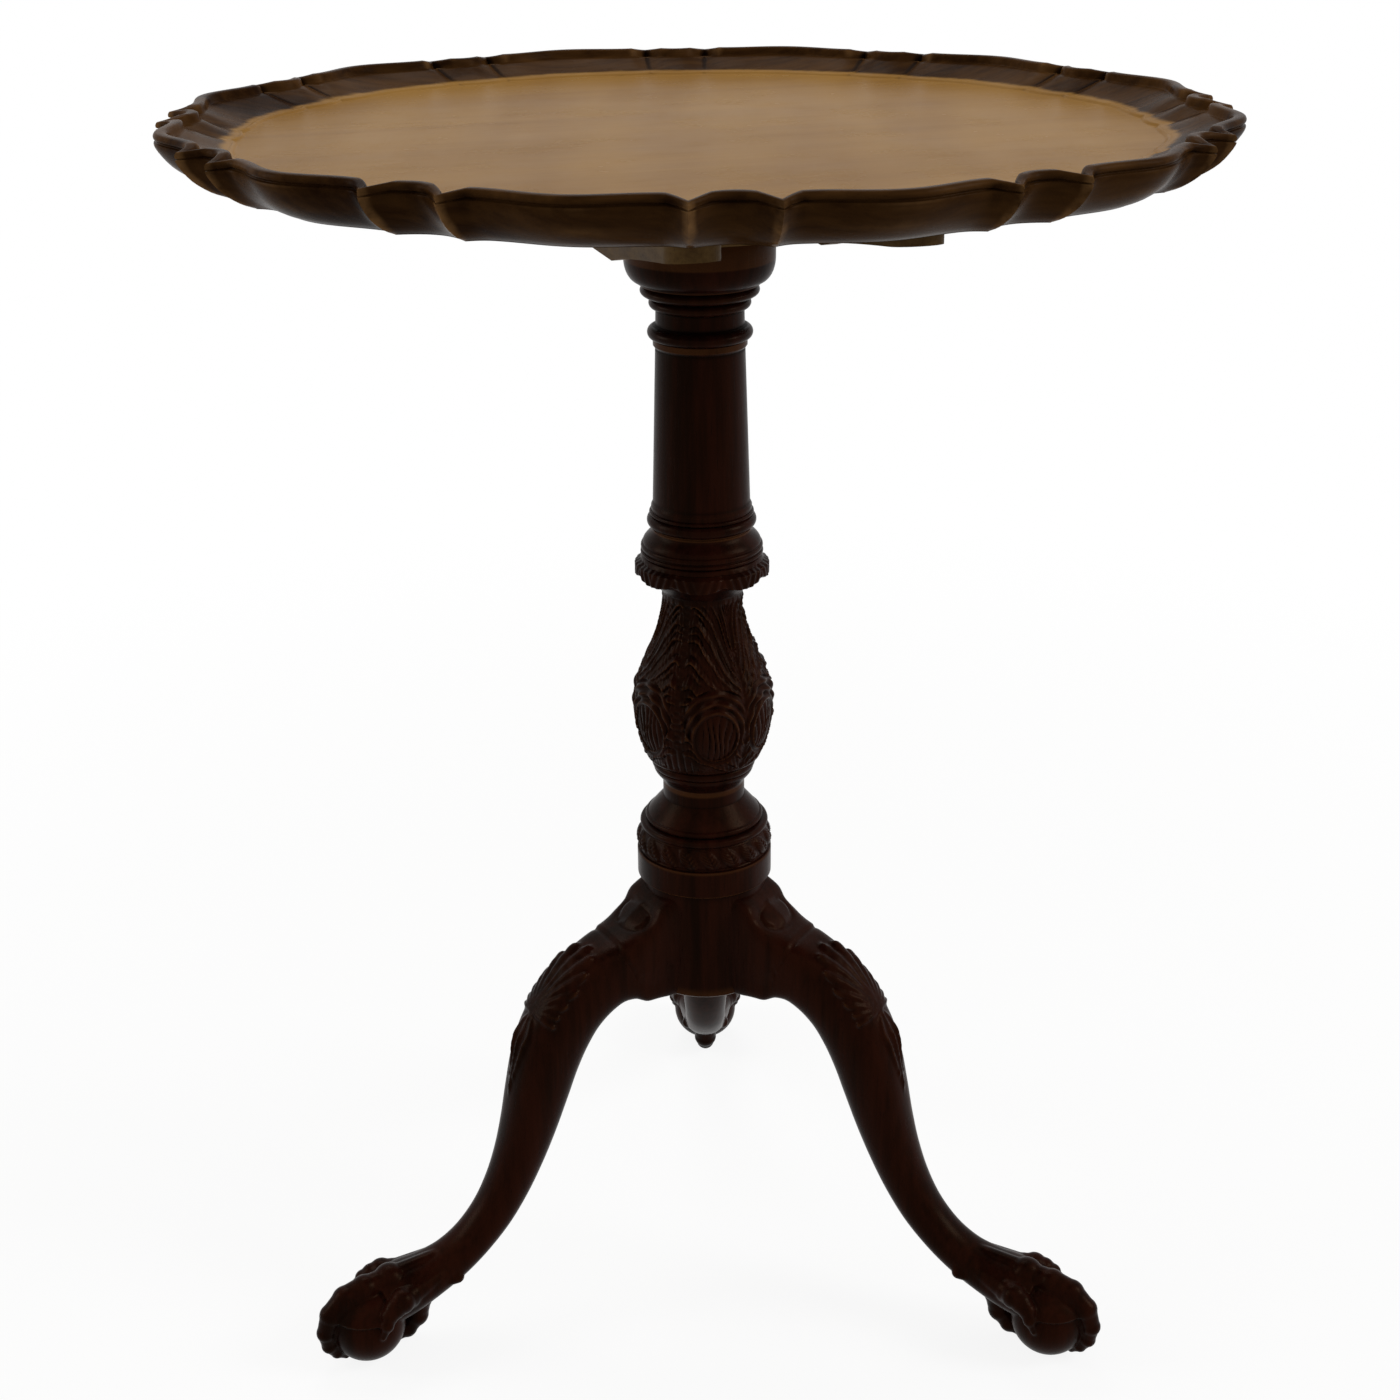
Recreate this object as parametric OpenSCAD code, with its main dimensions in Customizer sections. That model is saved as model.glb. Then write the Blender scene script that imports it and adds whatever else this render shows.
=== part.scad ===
// Tilt-top tripod table with a dished, scalloped top, turned pillar and claw-and-ball feet.
// Millimetres, +Z up. The origin is on the floor under the pillar's axis, the single leg
// points to +Y, and the top tips over its front edge.

/* [Table] */
// Height of the rim's crest above the floor
table_h = 711; // [660:1:760]
// Turn of the top and its tilting gear about the pillar, in degrees
top_turn = 18; // [0:1:30]

/* [Top] */
// Mean radius of the rim's crest
crest_r = 272; // [240:1:320]
// Height of the rim above the underside of the board
rim_h = 25; // [22:0.5:32]
// Thickness of the board under the dished field
field_t = 12; // [10:0.5:16]
// Number of scallops round the rim
scallops = 12; // [8:1:16]
// Width of the flat crest
crest_w = 7; // [5:0.5:9]
// Width of the moulded slope between the crest and the field
slope_w = 27; // [20:1:34]
// How far the outer wall draws in towards the underside
wall_draw = 21.5; // [12:0.5:24]
// How far the small scallops are scooped in
scoop_in = 8; // [4:0.5:10]
// How far the pointed horns beside each small scallop stand out
horn_out = 5; // [2:0.5:8]
// How far the middle of a long scallop swells
swell_out = 5; // [2:0.5:8]
// How far the crest dips at the horns
horn_dip = 2; // [0:0.25:3]

/* [Bearers] */
// Length of a bearer
bearer_l = 342; // [300:2:380]
// Width of a bearer
bearer_w = 27; // [24:0.5:32]
// Depth of a bearer along its middle
bearer_t = 38; // [34:0.5:42]
// Depth of a bearer at its tips
bearer_tip_t = 21; // [16:0.5:26]
// Length of the taper at each end
bearer_taper = 100; // [60:1:110]
// Gap between a bearer and the block
side_gap = 0.3; // [0.2:0.05:0.5]

/* [Tilting block] */
// Width of the block between the bearers
block_w = 83; // [76:0.5:90]
// Length of the block along the bearers
block_l = 90; // [84:0.5:96]
// Thickness of the block
block_t = 40.5; // [36:0.5:44]
// Radius of the pintles turned on the block
pintle_r = 9; // [7:0.25:11]
// Depth of the pintles' axis below the board
pintle_drop = 17; // [15:0.25:19]
// Radial clearance of the pintles in the bearers
pintle_clear = 0.08; // [0.02:0.01:0.1]
// Gap between the board's underside and the block
rest_gap = 0.3; // [0.2:0.05:0.5]

/* [Pillar] */
// Radius of the pillar where the legs join it
socket_r = 37; // [34:0.5:40]
// Height of the pillar's underside above the floor
socket_z = 195; // [180:1:210]
// Height of the plain part that takes the legs
socket_h = 69; // [66:1:76]
// Radius of the band over the legs
band_r = 40; // [38.5:0.25:42]
// Height of the plain band over the legs
band_h = 11; // [8:0.5:14]
// Height of the carved roll over the band
roll_h = 11; // [8:0.5:14]
// Height of the bell under the vase
bell_h = 26; // [20:1:32]
// Radius of the neck between bell and vase
low_neck_r = 24; // [21:0.5:27]
// Height of the neck between bell and vase
low_neck_h = 8; // [5:0.5:12]
// Height of the moulding that carries the vase
vase_foot_h = 16; // [12:0.5:20]
// Height of the carved vase
vase_h = 101; // [90:1:112]
// Radius of the vase at its fullest
vase_r = 40.4; // [37:0.2:43]
// Radius of the vase at its top
vase_top_r = 23.3; // [21:0.2:26]
// Height of the leaf collar over the vase
collar_h = 41; // [34:0.5:46]
// Radius of the leaf collar
collar_r = 37.6; // [34:0.2:40]
// Height of the ring under the shaft
ring_h = 14; // [10:0.5:18]
// Radius of the shaft at its foot
shaft_foot_r = 27.3; // [25:0.1:30]
// Radius of the shaft at its head
shaft_head_r = 24.6; // [22:0.1:27]
// Height of the necking under the capital
necking_h = 21; // [16:0.5:26]
// Height of the capital
capital_h = 41; // [34:0.5:46]
// Radius of the capital
capital_r = 40.9; // [38:0.1:41.4]
// Radius of the tenon through the block
tenon_r = 16; // [14:0.25:20]

/* [Legs] */
// Number of legs
leg_n = 3; // [3:1:3]
// Distance of the middle of a foot from the pillar's axis
leg_reach = 235; // [220:1:250]
// Half width of a leg at the pillar
leg_half_w = 20.5; // [18:0.25:22]
// Half width of a leg at the ankle
ankle_half_w = 13.5; // [12:0.25:16]
// Radius of the ball
ball_r = 22.5; // [20:0.5:25]
// Radius of a talon at its knuckle
talon_r = 8; // [6:0.25:9]
// Width of a dovetail tongue at the pillar's face
tongue_w = 14; // [11:0.5:16]
// Width of a dovetail tongue at its root
tongue_root_w = 19; // [16:0.5:20]
// Depth of the dovetail in the pillar
tongue_d = 17; // [12:0.5:18]
// Length of the dovetail
tongue_l = 60; // [50:1:62]
// Glue gap round a joint
glue = 0.1; // [0.05:0.05:0.2]

/* [Strap] */
// Thickness of the iron strap under the pillar
strap_t = 2.5; // [2:0.25:4]
// Width of a strap arm
strap_w = 15; // [12:0.5:20]
// Length of a strap arm from the pillar's axis
strap_l = 46; // [42:0.5:47]

/* [Catch] */
// Radius of the catch's bolt
bolt_r = 4; // [3.5:0.25:4.5]
// Travel of the bolt
bolt_travel = 9; // [7:0.5:10]
// Radial clearance of the bolt in its lugs
bolt_clear = 0.08; // [0.03:0.01:0.1]
// Gap between the drawn bolt and the keeper
draw_gap = 2.5; // [2.5:0.25:4]
// Thickness of the catch plate
plate_t = 2; // [1.5:0.25:2.5]
// Depth of the bolt's axis below the plate
bolt_drop = 7.5; // [7:0.25:9]
// Thickness of the keeper
keeper_t = 1.6; // [1:0.2:2]

/* [Hidden] */
$fn = 48;
eps = 0.01;

// Wood and metal colours
mahogany = [0.16, 0.05, 0.03];
rim_brown = [0.30, 0.17, 0.08];
secondary_wood = [0.45, 0.33, 0.19];
brass = [0.72, 0.55, 0.28];
iron = [0.20, 0.19, 0.18];

// Heights of the main levels
under_z = table_h - rim_h;
field_z = under_z + field_t;
block_top_z = under_z - rest_gap;
capital_top_z = block_top_z - block_t;
capital_z = capital_top_z - capital_h;
shaft_top_z = capital_z - necking_h;
band_z = socket_z + socket_h;
roll_z = band_z + band_h;
bell_z = roll_z + roll_h + 4;
low_neck_z = bell_z + bell_h;
vase_foot_z = low_neck_z + low_neck_h;
vase_z = vase_foot_z + vase_foot_h;
collar_z = vase_z + vase_h;
ring_z = collar_z + collar_h;
shaft_z = ring_z + ring_h;

// The tilting gear: x along the pintles, y along the bearers
block_y = block_l / 2;
pivot_y = -block_y + pintle_drop - rest_gap;
pivot_z = under_z - pintle_drop;
bearer_x = block_w / 2 + side_gap + bearer_w / 2;

// Wood screws: radius of the shank, radius and depth of the head, pilot hole
screw_r = 2.4;
screw_head_r = 4.6;
screw_head_t = 3;
screw_fit = 0.2;
small_screw_r = 1.4;
small_head_r = 2.8;
small_head_t = 1.6;
board_bite = 8;

// Where the bearers' screws stand along them
bearer_screw_y = [-(bearer_l / 2 - 26), -72, 56, bearer_l / 2 - 26];

// --- helpers

// Points of an elliptical arc round [x, z]
function arc_points(x, z, rx, rz, from, to, steps) =
    [for (i = [0:steps]) let (a = from + (to - from) * i / steps) [x + rx * cos(a), z + rz * sin(a)]];

// A bead that bulges by out from radius r between two heights
function bead(r, out, z0, z1, steps = 10) =
    arc_points(r, (z0 + z1) / 2, out, (z1 - z0) / 2, -90, 90, steps);

// A value that eases from a to b as t goes from 0 to 1
function ease(a, b, t) = a + (b - a) * (1 - cos(180 * t)) / 2;
function mix(a, b, t) = a + (b - a) * t;

// A wood screw with its head up, its head's top at the origin
module screw(length, r, head_r, head_t) {
    rotate_extrude() polygon([[0, 0], [head_r, 0], [head_r, -0.4], [r, -head_t],
        [r, -length + 2 * r], [0, -length]]);
}

// The space that such a screw fills, with its fit
module screw_hole(length, r, head_r, head_t) {
    translate([0, 0, -0.4]) cylinder(h = 0.4 + eps, r = head_r + screw_fit);
    translate([0, 0, -head_t])
        cylinder(h = head_t - 0.4 + eps, r1 = r + screw_fit, r2 = head_r + screw_fit);
    translate([0, 0, -length - screw_fit]) cylinder(h = length, r = r + screw_fit);
}

// Turns the tilting gear to its place about the pillar
module turned() rotate([0, 0, top_turn]) children();

// --- top

// Radial offset of the crest at t, the share of a scallop from its small lobe's middle (0 to 0.5)
horn_at = 4 / 30;
hollow_at = 6.5 / 30;
hollow_in = 3;
function crust(t) =
    t <= horn_at ? -scoop_in + (scoop_in + horn_out) * pow(t / horn_at, 2)
    : t <= hollow_at
        ? -hollow_in + (hollow_in + horn_out) * pow((hollow_at - t) / (hollow_at - horn_at), 2)
    : ease(-hollow_in, swell_out, (t - hollow_at) / (0.5 - hollow_at));

// How strongly a place belongs to a horn, for the dip in the crest
function horn_share(t) = max(0, 1 - abs(t - horn_at) / (2 / 30));

// The rim's section from the field to the underside: [offset from the crest, height, share of scallop]
crest_in = -crest_w;
slope_in = crest_in - slope_w;
dish_d = rim_h - field_t;
rim_section = [
    [slope_in - 1.5, field_z, 0.3],
    [slope_in, field_z + 0.9, 0.32],
    [slope_in + 2, field_z + 1.0, 0.35],
    [slope_in + 0.34 * slope_w, field_z + 0.20 * dish_d, 0.5],
    [slope_in + 0.64 * slope_w, field_z + 0.42 * dish_d, 0.7],
    [slope_in + 0.86 * slope_w, field_z + 0.60 * dish_d, 0.9],
    [crest_in - 0.8, field_z + 0.66 * dish_d, 1],
    [crest_in + 0.4, table_h - 0.9, 1],
    [crest_in + 2, table_h, 1],
    [-2, table_h, 1],
    [0, table_h - 1.8, 1],
    [-0.06 * wall_draw, under_z + 0.66 * rim_h, 0.96],
    [-0.30 * wall_draw, under_z + 0.36 * rim_h, 0.85],
    [-0.66 * wall_draw, under_z + 0.13 * rim_h, 0.72],
    [-wall_draw, under_z, 0.6]
];

// Shares of one scallop at which the rim is drawn, with a line on each horn
half_steps = [0, 2 / 30, horn_at, 5.2 / 30, hollow_at, 9.5 / 30, 12.5 / 30];
scallop_steps = concat(half_steps, [0.5], [for (i = [6:-1:1]) 1 - half_steps[i]]);
rim_turns = [for (k = [0:scallops - 1], s = scallop_steps) [(k + s + 0.5) * 360 / scallops, s]];

function rim_point(section, turn) =
    let (
        t = min(turn[1], 1 - turn[1]),
        r = crest_r + section[0] + section[2] * crust(t),
        dip = section[1] > field_z + 0.7 * dish_d && section[1] > under_z + rim_h / 2
            ? horn_dip * horn_share(t) : 0
    )
    [r * sin(turn[0]), -r * cos(turn[0]), section[1] - dip];

module rim_and_field() {
    n = len(rim_turns);
    m = len(rim_section);
    points = concat([for (s = rim_section, t = rim_turns) rim_point(s, t)],
        [[0, 0, rim_section[0][1]], [0, 0, under_z]]);
    walls = [for (j = [0:m - 2], i = [0:n - 1])
        let (a = j * n + i, b = j * n + (i + 1) % n) each [[a, b + n, b], [a, a + n, b + n]]];
    field = [for (i = [0:n - 1]) [i, (i + 1) % n, m * n]];
    underside = [for (i = [0:n - 1]) [(m - 1) * n + (i + 1) % n, (m - 1) * n + i, m * n + 1]];
    polyhedron(points, concat(underside, field, walls));
}

module top_board() {
    color(rim_brown) turned() difference() {
        rim_and_field();
        bearer_screw_places() screw_hole(bearer_screw_l($y), screw_r, screw_head_r, screw_head_t);
        catch_screw_places()
            screw_hole(catch_screw_l, small_screw_r, small_head_r, small_head_t);
    }
}

// --- bearers

bearer_low_z = under_z - bearer_t;

// Depth of a bearer at a distance along it from its middle
function bearer_depth(y) =
    let (run = abs(y) - (bearer_l / 2 - bearer_taper))
    run <= 0 ? bearer_t : mix(bearer_t, bearer_tip_t, pow(min(1, run / bearer_taper), 0.8));
function bearer_screw_l(y) = bearer_depth(y) - bearer_screw_sink(y) + board_bite;
function bearer_screw_sink(y) = bearer_depth(y) > 30 ? 8 : 1;

// The side view of a bearer: y along it and z up
module bearer_side() {
    steps = 8;
    taper = [for (i = [0:steps]) let (y = bearer_l / 2 - bearer_taper * (1 - i / steps))
        [y, under_z - bearer_depth(y)]];
    polygon(concat([[-bearer_l / 2, under_z]],
        [for (i = [steps:-1:0]) [-taper[i][0], taper[i][1]]],
        taper, [[bearer_l / 2, under_z]]));
}

module bearer(side) {
    x = side * bearer_x;
    difference() {
        intersection() {
            translate([x - bearer_w / 2, 0, 0]) rotate([90, 0, 90])
                linear_extrude(bearer_w) bearer_side();
            translate([x, 0, bearer_low_z - 1]) linear_extrude(bearer_t + 2) hull()
                for (s = [-1, 1]) translate([0, s * (bearer_l / 2 - bearer_w / 2)])
                    circle(r = bearer_w / 2);
        }
        translate([x - bearer_w, pivot_y, pivot_z]) rotate([0, 90, 0])
            cylinder(h = 2 * bearer_w, r = pintle_r + pintle_clear);
        bearer_screw_places() {
            screw_hole(bearer_screw_l($y), screw_r, screw_head_r, screw_head_t);
            cylinder(h = bearer_t, r = screw_head_r + screw_fit);
        }
    }
}

// Every bearer screw's place, with its head down and its length along y in $y
module bearer_screw_places() {
    for (side = [-1, 1], y = bearer_screw_y) {
        $y = y;
        translate([side * bearer_x, y, under_z - bearer_depth(y) + bearer_screw_sink(y)])
            rotate([180, 0, 0]) children();
    }
}

module bearer_left() color(secondary_wood) turned() bearer(-1);
module bearer_right() color(secondary_wood) turned() bearer(1);
module bearer_screws() color(iron) turned()
    bearer_screw_places() screw(bearer_screw_l($y), screw_r, screw_head_r, screw_head_t);

// --- tilting block

block_edge_r = pintle_drop - rest_gap;
wedge_w = 3;
wedge_d = 20;
wedge_x = 5.5;
keeper_hole_r = bolt_r + 0.4;
keeper_hole_d = 13;

module tilt_block() color(secondary_wood) turned() difference() {
    union() {
        translate([-block_w / 2, 0, 0]) rotate([90, 0, 90]) linear_extrude(block_w)
            polygon(concat([[block_y, capital_top_z], [block_y, block_top_z]],
                arc_points(pivot_y, pivot_z, block_edge_r, block_edge_r, 90, 180, 12),
                [[-block_y, capital_top_z]]));
        translate([-block_w / 2 - side_gap - bearer_w, pivot_y, pivot_z]) rotate([0, 90, 0])
            cylinder(h = block_w + 2 * (side_gap + bearer_w), r = pintle_r);
    }
    translate([0, 0, capital_top_z - 1]) cylinder(h = block_t + 2, r = tenon_r + glue);
    translate([0, block_y + 1, bolt_z]) rotate([90, 0, 0])
        cylinder(h = keeper_hole_d + 1, r = keeper_hole_r);
    keeper_screw_places() screw_hole(keeper_screw_l, small_screw_r, small_head_r, small_head_t);
}

// Two wedges driven into the head of the tenon
module wedge(grow = 0) {
    for (s = [-1, 1]) translate([s * wedge_x, 0, block_top_z - 0.5])
        rotate([90, 0, 0]) translate([0, 0, -tenon_r - grow])
            linear_extrude(2 * (tenon_r + grow)) polygon([[-wedge_w / 2 - grow, eps + grow],
                [wedge_w / 2 + grow, eps + grow], [0.4 + grow, -wedge_d - grow],
                [-0.4 - grow, -wedge_d - grow]]);
}
module block_wedges() color(secondary_wood) turned() intersection() {
    wedge();
    cylinder(h = table_h, r = tenon_r - glue);
}

// --- pillar

lip = 1.2;
belly_h = 37;
pillar_profile = concat(
    [[0, socket_z], [socket_r - 1, socket_z], [socket_r, socket_z + 1], [socket_r, band_z],
     [band_r - 0.6, band_z], [band_r, band_z + 0.6], [band_r, roll_z - 0.5], [band_r - lip, roll_z]],
    bead(band_r - lip, 2.2, roll_z + 0.3, roll_z + roll_h),
    bead(band_r - 2, 1.0, roll_z + roll_h + 0.3, roll_z + roll_h + 1.8, 6),
    bead(band_r - 2, 0.8, roll_z + roll_h + 2.2, bell_z, 6),
    // bell
    [for (i = [0:12]) let (t = i / 12)
        [mix(band_r - 1, low_neck_r, pow(t, 1.35)), bell_z + 0.6 + (bell_h - 0.6) * t]],
    [[low_neck_r, vase_foot_z]],
    // foot of the vase
    [for (i = [1:6]) let (t = i / 6)
        [ease(low_neck_r, vase_r - 11, t * 0.94), vase_foot_z + (vase_foot_h - 6) * t]],
    bead(vase_r - 11.6, 1.6, vase_z - 5.6, vase_z - 0.6, 6),
    // vase: a round belly that draws in to a slender neck
    arc_points(vase_r - 10, vase_z + belly_h, 10, belly_h, -88, 0, 9),
    [for (i = [1:14]) let (t = i / 14)
        [ease(vase_r, vase_top_r, pow(t, 0.93)), vase_z + belly_h + (vase_h - belly_h) * t]],
    // leaf collar: a spreading underside, a rolled lip and a cove over it
    [for (i = [1:5]) let (t = i / 5)
        [mix(vase_top_r, collar_r - 6, t), collar_z + 2 + 9 * pow(t, 1.3)]],
    arc_points(collar_r - 5.2, collar_z + 16, 5.2, 4.4, -80, 80, 8),
    [[collar_r - 3.4, collar_z + 22.5], [collar_r - 2.8, collar_z + 26], [collar_r - 3.2, collar_z + 30]],
    [for (i = [0:6]) let (t = i / 6)
        [ease(collar_r - 4, shaft_foot_r + 0.9, t), mix(collar_z + 31, ring_z - 1, t)]],
    // ring under the shaft
    bead(shaft_foot_r + 0.6, 2.9, ring_z, ring_z + 9),
    [[shaft_foot_r + 1, ring_z + 9.5], [shaft_foot_r + 1, shaft_z - 2]],
    // shaft
    [[shaft_foot_r, shaft_z], [shaft_head_r, shaft_top_z]],
    // necking: fillet, ring and neck
    [[shaft_head_r + 1.2, shaft_top_z + 1.6], [shaft_head_r + 1.2, shaft_top_z + 4.6]],
    bead(shaft_head_r + 0.8, 3.4, shaft_top_z + 5, shaft_top_z + 12),
    [[shaft_head_r - 0.3, shaft_top_z + 13.2], [shaft_head_r - 0.5, capital_z]],
    // capital: two rings and a bowl
    bead(shaft_head_r, 3.2, capital_z + 0.6, capital_z + 6.4, 8),
    bead(shaft_head_r + 2.6, 5.2, capital_z + 7, capital_z + 13.6, 8),
    [[shaft_head_r + 8.4, capital_z + 14], [shaft_head_r + 9, capital_z + 15.4]],
    arc_points(shaft_head_r + 9, capital_z + 28, capital_r - shaft_head_r - 9, 12.6, -82, 0, 8),
    [[capital_r, capital_top_z - 1.5], [capital_r - 1, capital_top_z], [tenon_r, capital_top_z],
     [tenon_r, block_top_z - 0.5], [0, block_top_z - 0.5]]);

module pillar() color(mahogany) difference() {
    rotate_extrude($fn = 96) polygon(pillar_profile);
    for (i = [0:leg_n - 1]) rotate([0, 0, i * 360 / leg_n]) tongue(glue);
    turned() wedge(glue);
    strap_screw_places() screw_hole(strap_screw_l, screw_r, screw_head_r, screw_head_t);
}

// --- legs, drawn with the leg's plane on +Y and turned to their places

// A dovetail tongue; grow widens it for its socket
module tongue(grow = 0) {
    in_r = socket_r - tongue_d;
    translate([0, 0, socket_z - (grow > 0 ? 1 : 0)])
        linear_extrude(tongue_l + (grow > 0 ? 1 + grow : 0))
            polygon([[-tongue_root_w / 2 - grow, in_r - grow], [tongue_root_w / 2 + grow, in_r - grow],
                [tongue_w / 2 + grow, socket_r + 1], [-tongue_w / 2 - grow, socket_r + 1]]);
}

// The leg's line from pillar to foot: share of its run, share of the pillar's height off the floor,
// share of the full half width in depth and across, squareness of the section, how far the section leans
run = leg_reach - socket_r;
leg_line = [
    [-0.051, 1.165, 1.707, 1.00, 9, 0],
    [0.015, 1.150, 1.488, 1.00, 9, 0],
    [0.038, 1.132, 1.298, 1.00, 9, 0],
    [0.068, 1.124, 1.132, 1.00, 8, 0],
    [0.108, 1.120, 0.946, 1.00, 5, 0.4],
    [0.164, 1.108, 0.912, 1.00, 3.6, 0.8],
    [0.231, 1.072, 0.976, 0.99, 3.0, 1],
    [0.292, 1.014, 1.039, 0.97, 2.7, 1],
    [0.338, 0.942, 1.034, 0.92, 2.5, 1],
    [0.374, 0.856, 0.976, 0.82, 2.4, 1],
    [0.405, 0.755, 0.888, 0.68, 2.3, 1],
    [0.438, 0.645, 0.780, 0.50, 2.2, 1],
    [0.474, 0.545, 0.693, 0.32, 2.1, 1],
    [0.518, 0.450, 0.615, 0.16, 2.1, 1],
    [0.574, 0.362, 0.556, 0.04, 2.1, 1],
    [0.646, 0.288, 0.527, 0.00, 2.1, 1],
    [0.723, 0.240, 0.556, 0.12, 2.1, 1],
    [0.800, 0.214, 0.634, 0.40, 2.1, 1],
    [0.872, 0.200, 0.732, 0.66, 2.2, 1],
    [0.953, 0.180, 0.732, 0.70, 2.2, 1]
];
function leg_u(s) = socket_r + run * s[0];
function leg_z(s) = socket_z * s[1];
function leg_w(s) = mix(ankle_half_w, leg_half_w, s[3]);

// Rounded section of the leg at station i, square to its line
function section_corner(c, n) = sign(c) * pow(abs(c), 2 / n);
leg_sides = 20;
function leg_ring(i) =
    let (
        s = leg_line[i],
        before = leg_line[max(i - 1, 0)],
        after = leg_line[min(i + 1, len(leg_line) - 1)],
        du = leg_u(after) - leg_u(before),
        dz = (leg_z(after) - leg_z(before)) * s[5],
        l = norm([du, dz])
    )
    [for (k = [0:leg_sides - 1]) let (
            a = 360 * (k + 0.5) / leg_sides,
            across = leg_w(s) * section_corner(cos(a), s[4]),
            up = s[2] * leg_half_w * section_corner(sin(a), s[4]))
        [across, leg_u(s) - up * dz / l, leg_z(s) + up * du / l]];

module leg_shape() {
    m = len(leg_line);
    n = leg_sides;
    points = [for (i = [0:m - 1]) each leg_ring(i)];
    sides = [for (j = [0:m - 2], i = [0:n - 1])
        let (a = j * n + i, b = j * n + (i + 1) % n) each [[a, b, b + n], [a, b + n, a + n]]];
    polyhedron(points, concat([[for (i = [n - 1:-1:0]) i]],
        [[for (i = [0:n - 1]) (m - 1) * n + i]], sides));
}

// A talon gripping the ball: joints at [angle over the ball, reach beyond it, radius]
ball_z = ball_r - 0.5;
module talon(turn, joints) {
    translate([0, leg_reach, ball_z]) rotate([0, 0, turn])
        hull() for (j = joints)
            translate([0, (ball_r + j[1]) * cos(j[0]), (ball_r + j[1]) * sin(j[0])])
                sphere(r = j[2], $fn = 12);
}
front_joints = [[90, 3.6, talon_r + 1], [58, 1.6, talon_r], [28, 2.4, talon_r - 1],
    [-2, 3.2, talon_r - 2.5], [-31, 1.5, 2.6]];
side_joints = [[84, 2.0, talon_r + 1], [56, 1.4, talon_r], [28, 2.4, talon_r - 1],
    [2, 2.0, talon_r - 2.5], [-28, 0.2, 2.4]];
rear_joints = [[58, 7.0, talon_r + 2], [34, 10.5, talon_r + 1], [8, 10.5, talon_r],
    [-16, 7.0, talon_r - 2], [-44, 1.6, 2.6]];
side_turn = 112;

// The palm, which covers the ball's crown
module palm() {
    palm_r = ball_r + 2.5;
    translate([0, leg_reach, ball_z]) intersection() {
        sphere(r = palm_r, $fn = 32);
        translate([-palm_r, -palm_r, ball_r / 2]) cube([2 * palm_r, 2 * palm_r, palm_r]);
    }
}

module carved_leg() difference() {
    union() {
        leg_shape();
        translate([0, leg_reach, ball_z]) sphere(r = ball_r, $fn = 32);
        palm();
        talon(0, front_joints);
        talon(side_turn, side_joints);
        talon(-side_turn, side_joints);
        talon(180, rear_joints);
    }
    translate([-leg_reach, 0, -leg_reach]) cube([2 * leg_reach, 2 * leg_reach, leg_reach]);
    translate([-leg_reach, 0, 0]) cube([2 * leg_reach, strap_l + 2, socket_z]);
    translate([-leg_reach, 0, band_z - glue]) cube([2 * leg_reach, leg_reach, socket_z]);
    cylinder(h = table_h, r = socket_r + glue);
}

module leg(turn) color(mahogany) rotate([0, 0, turn]) difference() {
    union() {
        carved_leg();
        tongue();
    }
    strap_screw_places(0) screw_hole(strap_screw_l, screw_r, screw_head_r, screw_head_t);
}

module leg_back() leg(0);
module leg_left() leg(120);
module leg_right() leg(-120);

// --- strap under the pillar

strap_screw_l = 22;
strap_screw_at = [27, 41];

// The strap's screws, for one arm or for all of them and the middle
module strap_screw_places(only = -1) {
    for (i = only < 0 ? [0:leg_n - 1] : [only]) rotate([0, 0, i * 360 / leg_n])
        for (y = strap_screw_at) translate([0, y, socket_z - strap_t]) rotate([180, 0, 0])
            children();
    if (only < 0) translate([0, 0, socket_z - strap_t]) rotate([180, 0, 0]) children();
}

module base_strap() color(iron) difference() {
    translate([0, 0, socket_z - strap_t]) linear_extrude(strap_t) {
        circle(r = 18);
        for (i = [0:leg_n - 1]) rotate([0, 0, i * 360 / leg_n]) hull() {
            translate([0, 10]) square([strap_w, 1], center = true);
            translate([0, strap_l - strap_w / 2]) circle(r = strap_w / 2);
        }
    }
    strap_screw_places() screw_hole(strap_screw_l, screw_r, screw_head_r, screw_head_t);
}

module base_strap_screws() color(iron)
    strap_screw_places() screw(strap_screw_l, screw_r, screw_head_r, screw_head_t);

// --- catch under the back of the top

plate_l = 56;
plate_w = 40;
plate_y = block_y + 7;
lug_t = 8;
lug_w = 17;
front_lug_y = plate_y + 4;
back_lug_y = plate_y + plate_l - 4 - lug_t;
plate_low_z = under_z - plate_t;
bolt_z = plate_low_z - bolt_drop;
nose_y = block_y + keeper_t + draw_gap;
bolt_l = plate_y + plate_l + 2 - nose_y;
knob_y = back_lug_y - 10;
knob_stem_r = 2.4;
catch_screw_l = 9;
keeper_screw_l = 12;
keeper_w = 28;
keeper_h = 17;

module catch_screw_places() {
    for (x = [-1, 1], y = [6, plate_l - 6])
        translate([x * (plate_w / 2 - 6), plate_y + y, plate_low_z]) rotate([180, 0, 0]) children();
}

module catch_plate() color(brass) turned() difference() {
    union() {
        translate([-plate_w / 2, plate_y, plate_low_z]) cube([plate_w, plate_l, plate_t]);
        for (y = [front_lug_y, back_lug_y]) translate([0, y + lug_t, bolt_z]) rotate([90, 0, 0])
            linear_extrude(lug_t) union() {
                circle(r = lug_w / 2 - 1.5);
                translate([-lug_w / 2 + 1.5, 0]) square([lug_w - 3, bolt_drop + eps]);
            }
    }
    translate([0, plate_y - 1, bolt_z]) rotate([-90, 0, 0])
        cylinder(h = plate_l + 2, r = bolt_r + bolt_clear);
    catch_screw_places() screw_hole(catch_screw_l, small_screw_r, small_head_r, small_head_t);
    rivet_hole();
}

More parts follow.
